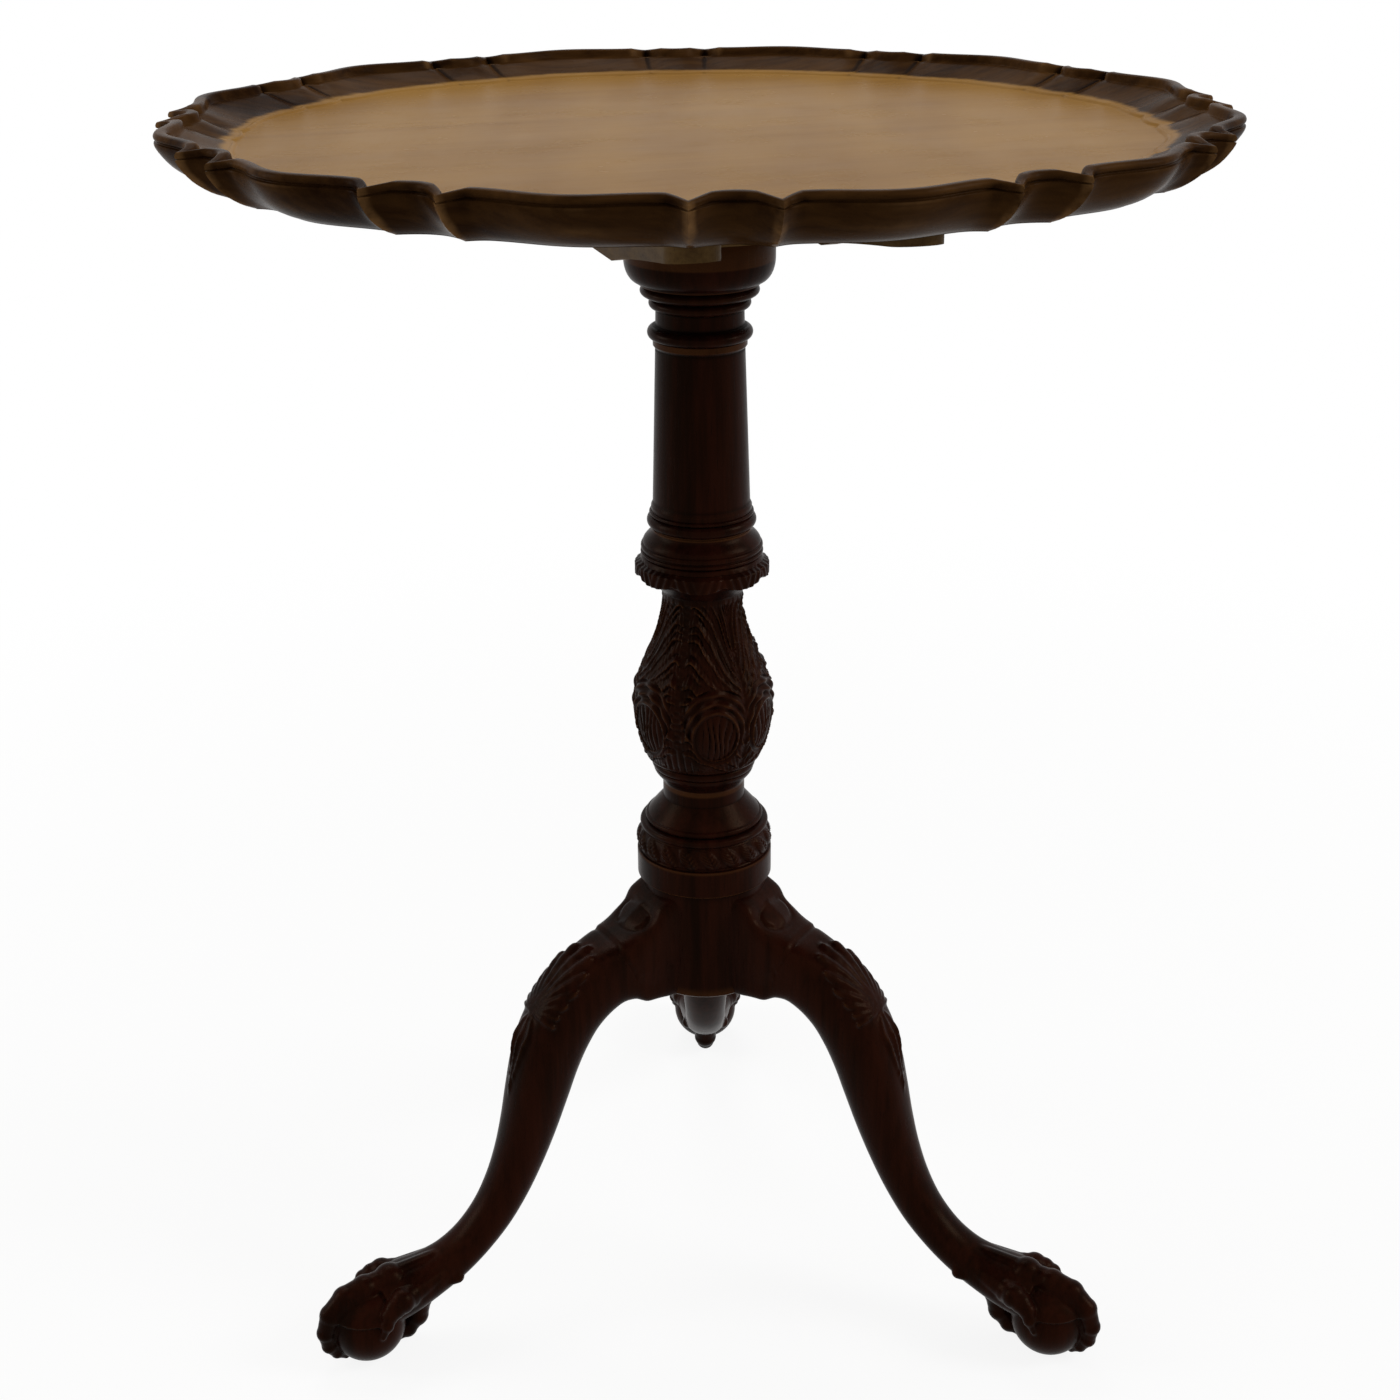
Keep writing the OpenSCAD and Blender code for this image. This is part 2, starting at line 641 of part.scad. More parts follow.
module catch_bolt() color(brass) turned() difference() {
    translate([0, nose_y, bolt_z]) rotate([-90, 0, 0]) rotate_extrude()
        polygon([[0, 0], [bolt_r - 1, 0], [bolt_r, 1], [bolt_r, bolt_l - 0.5],
            [bolt_r - 0.5, bolt_l], [0, bolt_l]]);
    translate([0, knob_y, bolt_z - bolt_r - 1]) cylinder(h = bolt_r + 1, r = knob_stem_r + 0.05);
}

module catch_knob() color(brass) turned() translate([0, knob_y, bolt_z]) rotate_extrude()
    polygon(concat([[0, -0.05], [knob_stem_r, -0.05], [knob_stem_r, -9], [knob_stem_r + 1.4, -9.6],
        [knob_stem_r + 1.4, -10.6]], arc_points(0, -16, 6, 5.6, 70, -90, 10)));

// A bowed leaf between the plate and the bolt, which keeps the bolt where it is slid. Its flat end
// is riveted to the plate.
spring_t = 0.6;
spring_w = 6;
spring_tab = 6;
spring_l = 18;
spring_y = front_lug_y + lug_t + 1.5;
module catch_spring() color(brass) turned() difference() {
    sag = bolt_drop - bolt_r - spring_t - 0.1;
    steps = 12;
    upper = concat([[spring_y, plate_low_z]], [for (i = [0:steps]) let (t = i / steps)
        [spring_y + spring_tab + spring_l * t, plate_low_z - sag * (1 - cos(360 * t)) / 2]]);
    lower = [for (i = [steps + 1:-1:0]) [upper[i][0], upper[i][1] - spring_t]];
    translate([-spring_w / 2, 0, 0]) rotate([90, 0, 90]) linear_extrude(spring_w)
        polygon(concat(upper, lower));
    rivet_hole();
}

// The leaf's rivet, set into the plate
rivet_r = 1.2;
rivet_head = [2.2, 0.9];
module rivet_hole() translate([0, spring_y + spring_tab / 2, plate_low_z - spring_t - 1])
    cylinder(h = plate_t + spring_t + 1 - 0.4, r = rivet_r + 0.05);
module spring_rivet() color(brass) turned()
    translate([0, spring_y + spring_tab / 2, plate_low_z - spring_t]) rotate_extrude()
        polygon([[0, -rivet_head[1]], [rivet_head[0] - 0.8, -rivet_head[1]], [rivet_head[0], -0.3],
            [rivet_head[0], 0], [rivet_r, 0], [rivet_r, plate_t + spring_t - 0.45],
            [0, plate_t + spring_t - 0.45]]);

module catch_plate_screws() color(brass) turned()
    catch_screw_places() screw(catch_screw_l, small_screw_r, small_head_r, small_head_t);

module keeper_screw_places() {
    for (x = [-1, 1]) translate([x * (keeper_w / 2 - 4.5), block_y + keeper_t, bolt_z])
        rotate([-90, 0, 0]) children();
}

module catch_keeper() color(brass) turned() difference() {
    translate([-keeper_w / 2, block_y, bolt_z - keeper_h / 2]) cube([keeper_w, keeper_t, keeper_h]);
    translate([0, block_y - 1, bolt_z]) rotate([-90, 0, 0])
        cylinder(h = keeper_t + 2, r = keeper_hole_r);
    keeper_screw_places() screw_hole(keeper_screw_l, small_screw_r, small_head_r, small_head_t);
}

module keeper_screws() color(brass) turned()
    keeper_screw_places() screw(keeper_screw_l, small_screw_r, small_head_r, small_head_t);

top_board();
bearer_left();
bearer_right();
bearer_screws();
tilt_block();
block_wedges();
pillar();
leg_left();
leg_right();
leg_back();
base_strap();
base_strap_screws();
catch_plate();
catch_bolt();
catch_knob();
catch_spring();
spring_rivet();
catch_plate_screws();
catch_keeper();
keeper_screws();
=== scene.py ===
"""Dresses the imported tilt-top table: carved mahogany, a polished dished top and aged brass."""

import logging
import math
from dataclasses import dataclass, field
from enum import Enum
from typing import Callable, Optional, Sequence, Union

import bpy
import numpy as np
from mathutils import Matrix, Vector

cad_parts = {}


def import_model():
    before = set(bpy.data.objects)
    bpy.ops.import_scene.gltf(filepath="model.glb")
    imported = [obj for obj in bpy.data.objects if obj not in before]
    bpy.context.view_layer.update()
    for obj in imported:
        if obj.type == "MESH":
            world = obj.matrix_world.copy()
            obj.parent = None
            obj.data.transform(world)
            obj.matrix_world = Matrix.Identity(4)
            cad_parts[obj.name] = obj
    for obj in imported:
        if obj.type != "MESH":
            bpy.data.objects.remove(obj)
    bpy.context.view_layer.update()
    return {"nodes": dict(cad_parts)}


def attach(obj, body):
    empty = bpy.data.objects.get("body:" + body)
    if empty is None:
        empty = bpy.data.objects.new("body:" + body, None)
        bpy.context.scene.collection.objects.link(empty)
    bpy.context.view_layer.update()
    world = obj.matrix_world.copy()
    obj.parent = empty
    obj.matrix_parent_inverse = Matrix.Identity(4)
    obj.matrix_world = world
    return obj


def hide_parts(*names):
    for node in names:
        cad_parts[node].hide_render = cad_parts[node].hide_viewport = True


LOG = logging.getLogger("table")
MM = 0.001
TURN = 2 * math.pi
Array = np.ndarray
Number = Union[int, float]
Colour = tuple[float, float, float]
Piece = bpy.types.Object
Material = bpy.types.Material


# Shader building


class Reading:
    """A number that runs through a material, so that shader maths reads as plain arithmetic."""

    def __init__(self, sheet: "ShaderSheet", socket: Optional[bpy.types.NodeSocket]) -> None:
        """Wraps a socket.

        Args:
            sheet: The sheet that the socket belongs to.
            socket: The output that gives the number, or None for a node without outputs.
        """
        self.sheet = sheet
        self.socket = socket

    def _math(self, operation: str, left: object, right: object, clamp: bool = False) -> "Reading":
        """Adds one Math node.

        Args:
            operation: The node's operation.
            left: The first operand.
            right: The second operand.
            clamp: True to keep the result between 0 and 1.

        Returns:
            The node's result.
        """
        settings = {"operation": operation, "use_clamp": clamp}
        return self.sheet.add("ShaderNodeMath", settings, {0: left, 1: right})

    def __add__(self, other: object) -> "Reading":
        """Adds a number.

        Args:
            other: The number or reading to add.

        Returns:
            The sum.
        """
        return self._math("ADD", self, other)

    def __sub__(self, other: object) -> "Reading":
        """Takes a number away.

        Args:
            other: The number or reading to take away.

        Returns:
            The difference.
        """
        return self._math("SUBTRACT", self, other)

    def __rsub__(self, other: object) -> "Reading":
        """Takes this from a number.

        Args:
            other: The number to take it from.

        Returns:
            The difference.
        """
        return self._math("SUBTRACT", other, self)

    def __mul__(self, other: object) -> "Reading":
        """Multiplies by a number.

        Args:
            other: The number or reading to multiply by.

        Returns:
            The product.
        """
        return self._math("MULTIPLY", self, other)

    def kept(self) -> "Reading":
        """Keeps the number between 0 and 1.

        Returns:
            The clamped number.
        """
        return self._math("ADD", self, 0.0, clamp=True)

    def step(self, low: float, high: float) -> "Reading":
        """Rises smoothly from 0 at low to 1 at high.

        Args:
            low: Where the rise begins.
            high: Where the rise ends.

        Returns:
            The smooth step.
        """
        settings = {"interpolation_type": "SMOOTHSTEP"}
        return self.sheet.add(
            "ShaderNodeMapRange", settings, {"Value": self, "From Min": low, "From Max": high}
        )


class ShaderSheet:
    """The node tree of one material or of the world."""

    def __init__(self, owner: Union[Material, bpy.types.World]) -> None:
        """Starts an empty tree.

        Args:
            owner: The new material or world.
        """
        self.owner = owner
        owner.use_nodes = True
        self.tree = owner.node_tree
        self.tree.nodes.clear()

    def add(
        self,
        kind: str,
        settings: Optional[dict[str, object]] = None,
        inputs: Optional[dict[Union[int, str], object]] = None,
        output: Union[int, str] = 0,
    ) -> Reading:
        """Adds any node.

        Args:
            kind: The node's type.
            settings: The node's own settings, which are set first.
            inputs: Values or readings for its sockets.
            output: The output that is wanted.

        Returns:
            A reading of that output, which is empty where the node has none.
        """
        made = self.tree.nodes.new(kind)
        for key, value in (settings or {}).items():
            setattr(made, key, value)
        for key, value in (inputs or {}).items():
            if isinstance(value, Reading):
                self.tree.links.new(value.socket, made.inputs[key])
            else:
                made.inputs[key].default_value = value
        return Reading(self, made.outputs[output] if made.outputs else None)

    def place(self) -> Reading:
        """Reads the point's place on the object.

        Returns:
            The place in metres.
        """
        return self.add("ShaderNodeTexCoord", output="Object")

    def mapped(self, place: Reading, turn: Sequence[float], scale: Sequence[float]) -> Reading:
        """Turns and stretches a place.

        Args:
            place: The place.
            turn: Turn about each axis, in radians.
            scale: Stretch along each axis after the turn.

        Returns:
            The new place.
        """
        settings = {"vector_type": "POINT"}
        inputs = {"Vector": place, "Rotation": tuple(turn)}
        turned = self.add("ShaderNodeMapping", settings, inputs)
        return self.add("ShaderNodeMapping", settings, {"Vector": turned, "Scale": tuple(scale)})

    def noise(
        self, place: Reading, scale: float, detail: float = 3.0, rough: float = 0.55,
        warp: float = 0.0,
    ) -> Reading:
        """A noise pattern.

        Args:
            place: Where to read it.
            scale: How fine it is.
            detail: How many finer layers it has.
            rough: How strong those layers are.
            warp: How much it distorts itself.

        Returns:
            The noise, about 0 to 1.
        """
        inputs = {
            "Vector": place, "Scale": scale, "Detail": detail,
            "Roughness": rough, "Distortion": warp,
        }
        return self.add("ShaderNodeTexNoise", None, inputs, "Fac")

    def measured(self, name: str) -> Reading:
        """A number that the mesh carries at each point.

        Args:
            name: The attribute's name.

        Returns:
            The number.
        """
        return self.add("ShaderNodeAttribute", {"attribute_name": name}, None, "Fac")

    def blend(self, share: object, low: object, high: object) -> Reading:
        """Mixes two colours.

        Args:
            share: How much of the second colour.
            low: The first colour.
            high: The second colour.

        Returns:
            The mixed colour.
        """
        low, high = (c if isinstance(c, Reading) else (*c, 1.0) for c in (low, high))
        return self.add("ShaderNodeMix", {"data_type": "RGBA"}, {0: share, 6: low, 7: high}, 2)

    def bumped(self, height: Reading, depth: float, strength: float = 1.0) -> Reading:
        """A bump from a height.

        Args:
            height: The height pattern.
            depth: Its depth in metres.
            strength: How strongly it shows.

        Returns:
            The normal.
        """
        inputs = {"Height": height, "Distance": depth, "Strength": strength}
        return self.add("ShaderNodeBump", None, inputs)

    def finish(self, **sockets: object) -> Material:
        """Adds the surface and the output.

        Args:
            **sockets: The surface's sockets, with spaces written as underscores.

        Returns:
            The material.
        """
        inputs = {key.replace("_", " "): value for key, value in sockets.items()}
        surface = self.add("ShaderNodeBsdfPrincipled", None, inputs)
        self.add("ShaderNodeOutputMaterial", None, {"Surface": surface})
        return self.owner


def srgb(*channels: int) -> Colour:
    """Turns a colour on screen into a linear one.

    Args:
        *channels: Red, green and blue, 0 to 255.

    Returns:
        The linear colour.
    """
    shares = (value / 255 for value in channels)
    return tuple(s / 12.92 if s <= 0.04045 else ((s + 0.055) / 1.055) ** 2.4 for s in shares)


def shaded(colour: Colour, share: float) -> Colour:
    """Darkens a colour.

    Args:
        colour: The colour.
        share: The share of its light that stays.

    Returns:
        The darker colour.
    """
    return tuple(c * share for c in colour)


# Finishes


@dataclass(frozen=True)
class Mahogany:
    """Polished mahogany: streaked heartwood with fine pores under a shellac skin."""

    name: str
    dark: Colour
    mid: Colour
    worn_and_highlit: Colour
    turn: tuple[float, float, float] = (0.0, 0.0, 0.0)
    roughness: float = 0.3
    wear_and_highlight: float = 0.6
    gloss: float = 0.03
    sheen: Colour = (1.0, 0.62, 0.34)
    figure_scale: float = 26.0
    streak_scale: float = 210.0
    pore_scale: float = 1500.0
    bump_depth: float = 0.00022

    def build(self) -> Material:
        """Builds the material. The grain runs along Z before the turn.

        Returns:
            The material.
        """
        sheet = ShaderSheet(bpy.data.materials.new(self.name))
        place = sheet.place()
        long = sheet.mapped(place, self.turn, (1.0, 1.0, 0.07))
        figure = sheet.noise(long, self.figure_scale, 3.0, 0.5, 0.6)
        streaks = sheet.noise(long, self.streak_scale, 4.0, 0.62)
        fine = sheet.mapped(place, self.turn, (1.0, 1.0, 0.035))
        pores = sheet.noise(fine, self.pore_scale, 2.0, 0.5).step(0.63, 0.74)
        patches = sheet.noise(place, 34.0, 4.0, 0.6)
        tone = (figure * 0.55 + streaks * 0.45).step(0.34, 0.66)
        colour = sheet.blend(tone, self.dark, self.mid)
        colour = sheet.blend(pores * 0.55, colour, shaded(self.dark, 0.35))
        hollow = sheet.measured("hollow")
        # wear and painted highlight: convex ridges turn to the lighter rubbed colour, which stands
        # in for their highlights as well
        ridge = (hollow * -1.0).step(0.22, 1.1)
        rubbed_and_highlit = (ridge * (patches.step(0.25, 0.6) * 0.6 + 0.4) * self.wear_and_highlight).kept()
        colour = sheet.blend(rubbed_and_highlit, colour, self.worn_and_highlit)
        # painted shade, with grime: the wood darkens in the carving's hollows, where shade falls;
        # the roughness rises there too
        shade_and_grime = hollow.step(0.08, 0.9) * 0.8
        colour = sheet.blend(shade_and_grime, colour, shaded(self.dark, 0.22))
        smears = sheet.noise(place, 60.0, 3.0, 0.6)
        rough = (smears * 0.16 + shade_and_grime * 0.25 + pores * 0.1 + (self.roughness - 0.08)).kept()
        skin = sheet.noise(place, 420.0, 2.0, 0.5) * 0.35 + streaks * 0.4 - pores * 0.6
        normal = sheet.bumped(skin, self.bump_depth, 0.5)
        return sheet.finish(
            Base_Color=colour, Roughness=rough, Normal=normal, Specular_IOR_Level=self.gloss,
            Specular_Tint=(*self.sheen, 1.0),
        )


@dataclass(frozen=True)
class FieldMahogany:
    """The dished top: a paler, waxed field and a dark moulded rim, in one plank."""

    name: str = "top_mahogany"
    field_dark: Colour = srgb(129, 93, 45)
    field_mid: Colour = srgb(147, 110, 57)
    rim_dark: Colour = srgb(28, 13, 5)
    rim_mid: Colour = srgb(72, 47, 22)
    under: Colour = srgb(64, 46, 28)
    # the pale rubbed colour of the rim's ridges, which stands in for their highlights too
    edge: Colour = srgb(120, 88, 54)
    turn: float = math.radians(18.0)
    gloss: float = 0.006
    sheen: Colour = (1.0, 0.8, 0.6)
    figure_scale: float = 17.0
    streak_scale: float = 170.0
    pore_scale: float = 1300.0
    # how fine the painted reflection bands across the field are
    reflection_band_scale: float = 15.0
    bump_depth: float = 0.0002

    def build(self) -> Material:
        """Builds the material.

        The mesh carries "dish", 1 in the field, "below", 1 underneath, and "wall", 1 outside,
        where the rim gets painted shade.

        Returns:
            The material.
        """
        sheet = ShaderSheet(bpy.data.materials.new(self.name))
        place = sheet.place()
        quarter = (0.0, math.radians(90.0), 0.0)
        square = sheet.add(
            "ShaderNodeMapping", {"vector_type": "POINT"},
            {"Vector": place, "Rotation": (0.0, 0.0, -self.turn)},
        )
        long = sheet.mapped(square, quarter, (1.0, 1.0, 0.06))
        figure = sheet.noise(long, self.figure_scale, 4.0, 0.55, 0.8)
        streaks = sheet.noise(long, self.streak_scale, 4.0, 0.6)
        fine = sheet.mapped(square, quarter, (1.0, 1.0, 0.03))
        pores = sheet.noise(fine, self.pore_scale, 2.0, 0.5).step(0.62, 0.74)
        # painted reflection: soft bands stretched along Y, toward the camera, lighten and darken
        # the field in streaks
        drawn = sheet.mapped(place, (0, 0, 0), (1.0, 0.12, 1.0))
        reflection_bands = sheet.noise(drawn, self.reflection_band_scale, 2.0, 0.5)
        tone = (figure * 0.5 + streaks * 0.3 + reflection_bands * 0.2).step(0.36, 0.64)
        calm = (figure * 0.28 + streaks * 0.17 + reflection_bands * 0.55).step(0.34, 0.66)
        ragged = figure * 0.5 + streaks * 0.3 + sheet.noise(place, 45.0, 4.0, 0.6) * 0.6 - 0.7
        dish = (sheet.measured("dish") + ragged).step(0.3, 0.75)
        below = sheet.measured("below")
        hollow = sheet.measured("hollow")
        field = sheet.blend(calm, self.field_dark, self.field_mid)
        rim = sheet.blend(tone, self.rim_dark, self.rim_mid)
        # painted shade: the rim's outer wall is darkened, as though it faced away from the light
        wall = sheet.measured("wall") * 0.5
        rim = sheet.blend(wall, rim, shaded(self.rim_dark, 0.5))
        under = sheet.blend(tone, shaded(self.under, 0.7), self.under)
        colour = sheet.blend(dish, rim, field)
        colour = sheet.blend(below, colour, under)
        # wear and painted highlight: the rim's ridges turn to the pale edge colour, which stands
        # in for their highlights as well
        ridge = (hollow * -1.0).step(0.3, 1.1)
        patches = sheet.noise(place, 40.0, 4.0, 0.65)
        rubbed_and_highlit = (ridge * patches.step(0.3, 0.62) * 0.65).kept()
        colour = sheet.blend(rubbed_and_highlit, colour, self.edge)
        # painted shade, with grime: the rim darkens in its hollows, where shade falls, and the
        # field less so; the roughness rises there too
        shade_and_grime = (hollow.step(0.08, 0.8) * (0.8 - dish * 0.6)).kept()
        colour = sheet.blend(shade_and_grime, colour, shaded(self.rim_dark, 0.3))
        colour = sheet.blend(pores * 0.16, colour, shaded(self.rim_dark, 0.4))
        smears = sheet.noise(place, 24.0, 4.0, 0.65)
        rough = (smears * 0.14 + below * 0.4 + shade_and_grime * 0.2 + 0.19).kept()
        skin = streaks * 0.4 - pores * 0.5 + sheet.noise(place, 300.0, 2.0, 0.5) * 0.25
        normal = sheet.bumped(skin, self.bump_depth, 0.35)
        return sheet.finish(
            Base_Color=colour, Roughness=rough, Normal=normal, Specular_IOR_Level=self.gloss,
            Specular_Tint=(*self.sheen, 1.0),
        )


@dataclass(frozen=True)
class AgedMetal:
    """Brass or iron that has dulled, with rubbed spots."""

    name: str
    bright: Colour
    dull: Colour
    roughness: float = 0.4
    metallic: float = 1.0
    bump_depth: float = 0.00012

    def build(self) -> Material:
        """Builds the material.

        Returns:
            The material.
        """
        sheet = ShaderSheet(bpy.data.materials.new(self.name))
        place = sheet.place()
        clouds = sheet.noise(place, 130.0, 5.0, 0.65)
        specks = sheet.noise(place, 900.0, 3.0, 0.6).step(0.5, 0.72)
        tone = (clouds.step(0.35, 0.65) * 0.8 + specks * 0.2).kept()
        colour = sheet.blend(tone, self.bright, self.dull)
        rough = (clouds * 0.25 + specks * 0.12 + (self.roughness - 0.12)).kept()
        normal = sheet.bumped(clouds * 0.5 + specks * 0.3, self.bump_depth, 0.5)
        return sheet.finish(
            Base_Color=colour, Roughness=rough, Metallic=self.metallic, Normal=normal
        )


# Modelling helpers


class Bench:
    """The tools that every sub-assembly shares."""

    @staticmethod
    def clear() -> None:
        """Leaves edit mode and deselects everything."""
        if bpy.context.mode != "OBJECT":
            bpy.ops.object.mode_set(mode="OBJECT")
        bpy.ops.object.select_all(action="DESELECT")

    @staticmethod
    def take(obj: Piece) -> Piece:
        """Makes one object the only one selected.

        Args:
            obj: The object.

        Returns:
            The same object.
        """
        Bench.clear()
        obj.select_set(True)
        bpy.context.view_layer.objects.active = obj
        return obj

    @staticmethod
    def settle(obj: Piece) -> Piece:
        """Puts an object's place, turn and size into its mesh.

        Args:
            obj: The object.

        Returns:
            The same object.
        """
        Bench.take(obj)
        bpy.ops.object.transform_apply(location=True, rotation=True, scale=True)
        return obj

    @staticmethod
    def read(rows: bpy.types.bpy_prop_collection, name: str) -> Array:
        """Reads a place or direction from each row.

        Args:
            rows: The mesh's points or their directions.
            name: What each row calls it.

        Returns:
            One row of x, y and z a point.
        """
        flat = np.zeros(len(rows) * 3)
        rows.foreach_get(name, flat)
        return flat.reshape(-1, 3)

    @staticmethod
    def set_points(obj: Piece, places: Array) -> None:
        """Moves the mesh's points.

        Args:
            obj: The object.
            places: The new x, y and z of each point.
        """
        obj.data.vertices.foreach_set("co", np.ascontiguousarray(places, dtype=float).ravel())
        obj.data.update()

    @staticmethod
    def pulled_ball(
        name: str, around: int, along: int, place: Callable[[Array, Array], Array]
    ) -> Piece:
        """Pulls a ball's rings over a closed form, as clay over a core.

        Args:
            name: The piece's name.
            around: Points in each ring.
            along: Rings from end to end.
            place: Gives the points from their turn in radians and their share of the way along.

        Returns:
            The piece.
        """
        Bench.clear()
        bpy.ops.mesh.primitive_uv_sphere_add(segments=around, ring_count=along, radius=1.0)
        obj = bpy.context.object
        obj.name = name
        ball = Bench.read(obj.data.vertices, "co")
        share = np.arccos(np.clip(-ball[:, 2], -1, 1)) / math.pi
        share = np.round(share * along) / along
        turn = np.arctan2(ball[:, 1], ball[:, 0])
        Bench.set_points(obj, place(turn, share))
        Bench.face_out(obj)
        return obj

    @staticmethod
    def face_out(obj: Piece) -> None:
        """Turns every face outwards.

        Args:
            obj: The object.
        """
        Bench.take(obj)
        bpy.ops.object.mode_set(mode="EDIT")
        bpy.ops.mesh.select_all(action="SELECT")
        bpy.ops.mesh.normals_make_consistent(inside=False)
        bpy.ops.object.mode_set(mode="OBJECT")

    @staticmethod
    def ball(
        place: Sequence[float], radius: float, segments: int, rings: int
    ) -> Piece:
        """Makes a ball.

        Args:
            place: Its middle in metres.
            radius: Its radius in metres.
            segments: Points in each ring.
            rings: Rings from pole to pole.

        Returns:
            The ball.
        """
        Bench.clear()
        bpy.ops.mesh.primitive_uv_sphere_add(
            segments=segments, ring_count=rings, radius=radius, location=place
        )
        return Bench.settle(bpy.context.object)

    @staticmethod
    def cut_level(obj: Piece, place: Sequence[float]) -> None:
        """Cuts off what lies below a place and closes the cut.

        Args:
            obj: The object.
            place: A place at the cut's height, in metres.
        """
        Bench.take(obj)
        bpy.ops.object.mode_set(mode="EDIT")
        bpy.ops.mesh.select_all(action="SELECT")
        bpy.ops.mesh.bisect(plane_co=place, plane_no=(0, 0, 1), use_fill=True, clear_inner=True)
        bpy.ops.object.mode_set(mode="OBJECT")

    @staticmethod
    def smooth(obj: Piece, angle: float) -> None:
        """Shades an object smooth up to an angle.

        Args:
            obj: The object.
            angle: The sharpest edge that is still smooth, in degrees.
        """
        Bench.take(obj)
        bpy.ops.object.shade_smooth_by_angle(angle=math.radians(angle))

    @staticmethod
    def join(name: str, parts: Sequence[Piece]) -> Piece:
        """Joins several objects.

        Args:
            name: The new piece's name.
            parts: The objects.

        Returns:
            The piece.
        """
        Bench.clear()
        for part in parts:
            part.select_set(True)
        bpy.context.view_layer.objects.active = parts[0]
        bpy.ops.object.join()
        parts[0].name = name
        return parts[0]

    @staticmethod
    def melt(obj: Piece, voxel: float, rounds: int) -> None:
        """Melts overlapping forms into one skin and eases it.

        Args:
            obj: The object.
            voxel: The skin's mesh size in metres.
            rounds: How many times it is eased.
        """
        Bench.take(obj)
        skin = obj.modifiers.new("skin", "REMESH")
        skin.mode = "VOXEL"
        skin.voxel_size = voxel
        bpy.ops.object.modifier_apply(modifier=skin.name)
        ease = obj.modifiers.new("ease", "SMOOTH")
        ease.factor = 0.5
        ease.iterations = rounds
        bpy.ops.object.modifier_apply(modifier=ease.name)

    @staticmethod
    def mark(obj: Piece, name: str, values: Array) -> None:
        """Stores a number at each point.

        Args:
            obj: The object.
            name: The attribute's name.
            values: One number a point.
        """
        layer = obj.data.attributes.new(name, "FLOAT", "POINT")
        layer.data.foreach_set("value", np.ascontiguousarray(values, dtype=float))

    @staticmethod
    def mark_hollows(obj: Piece, rounds: int, depth: float) -> None:
        """Stores how deep each point lies in a hollow, and how far it stands on a ridge.

        Args:
            obj: The object.
            rounds: How many times the neighbours are averaged.
            depth: The depth in metres that counts as 1.
        """
        places = Bench.read(obj.data.vertices, "co")
        edges = np.zeros(len(obj.data.edges) * 2, dtype=np.int64)
        obj.data.edges.foreach_get("vertices", edges)
        a, b = edges.reshape(-1, 2).T
        count = np.bincount(a, minlength=len(places)) + np.bincount(b, minlength=len(places))
        count = np.maximum(count, 1)[:, None]
        eased = places.copy()
        for _ in range(rounds):
            total = np.zeros_like(eased)
            for axis in range(3):
                total[:, axis] = np.bincount(a, eased[b, axis], len(places))
                total[:, axis] += np.bincount(b, eased[a, axis], len(places))
            eased = 0.4 * eased + 0.6 * total / count
        outward = Bench.read(obj.data.vertex_normals, "vector")
        deep = ((eased - places) * outward).sum(axis=1) / depth
        Bench.mark(obj, "hollow", np.clip(deep, -1, 1))


def smoothstep(low: Number, high: Number, value: Array) -> Array:
    """Rises smoothly from 0 at low to 1 at high.

    Args:
        low: Where the rise begins.
        high: Where the rise ends.
        value: The numbers.

    Returns:
        The smooth steps.
    """
    share = np.clip((value - low) / (high - low), 0, 1)
    return share * share * (3 - 2 * share)


def wrapped(angle: Array) -> Array:
    """Brings angles into the half turn each way from 0.

    Args:
        angle: The angles in radians.

    Returns:
        The same angles, from minus pi to pi.
    """
    return (angle + math.pi) % TURN - math.pi


def wave(turns: Array) -> Array:
    """A cosine wave, which is 1 at every whole number.

    Args:
        turns: The numbers.

    Returns:
        The wave there, from -1 to 1.
    """
    return np.cos(TURN * turns)


def swell(value: Array, middle: Union[Number, Array], width: Number) -> Array:
    """A soft swell, which is 1 at its middle and falls off to both sides.

    Args:
        value: The numbers.
        middle: Where the swell stands highest.
        width: How far from there it has fallen to about a third.

    Returns:
        The swell there, from 0 to 1.
    """
    return np.exp(-((value - middle) / width) ** 2)


def curved(before: Array, a: Array, b: Array, after: Array, share: Union[float, Array]) -> Array:
    """Draws a smooth line between two points, which passes through them.

    Args:
        before: The point before the first.
        a: The first point.
        b: The second point.
        after: The point after the second.
        share: Share of the way from the first to the second.

    Returns:
        The point there.
    """
    slope_a, slope_b = (b - before) / 2, (after - a) / 2
    s2, s3 = share ** 2, share ** 3
    return (
        (2 * s3 - 3 * s2 + 1) * a + (s3 - 2 * s2 + share) * slope_a
        + (3 * s2 - 2 * s3) * b + (s3 - s2) * slope_b
    )


class Body(Enum):
    """The bodies that the carved pieces ride on."""

    BASE = "base"
    TOP = "top"


# Sub-assemblies


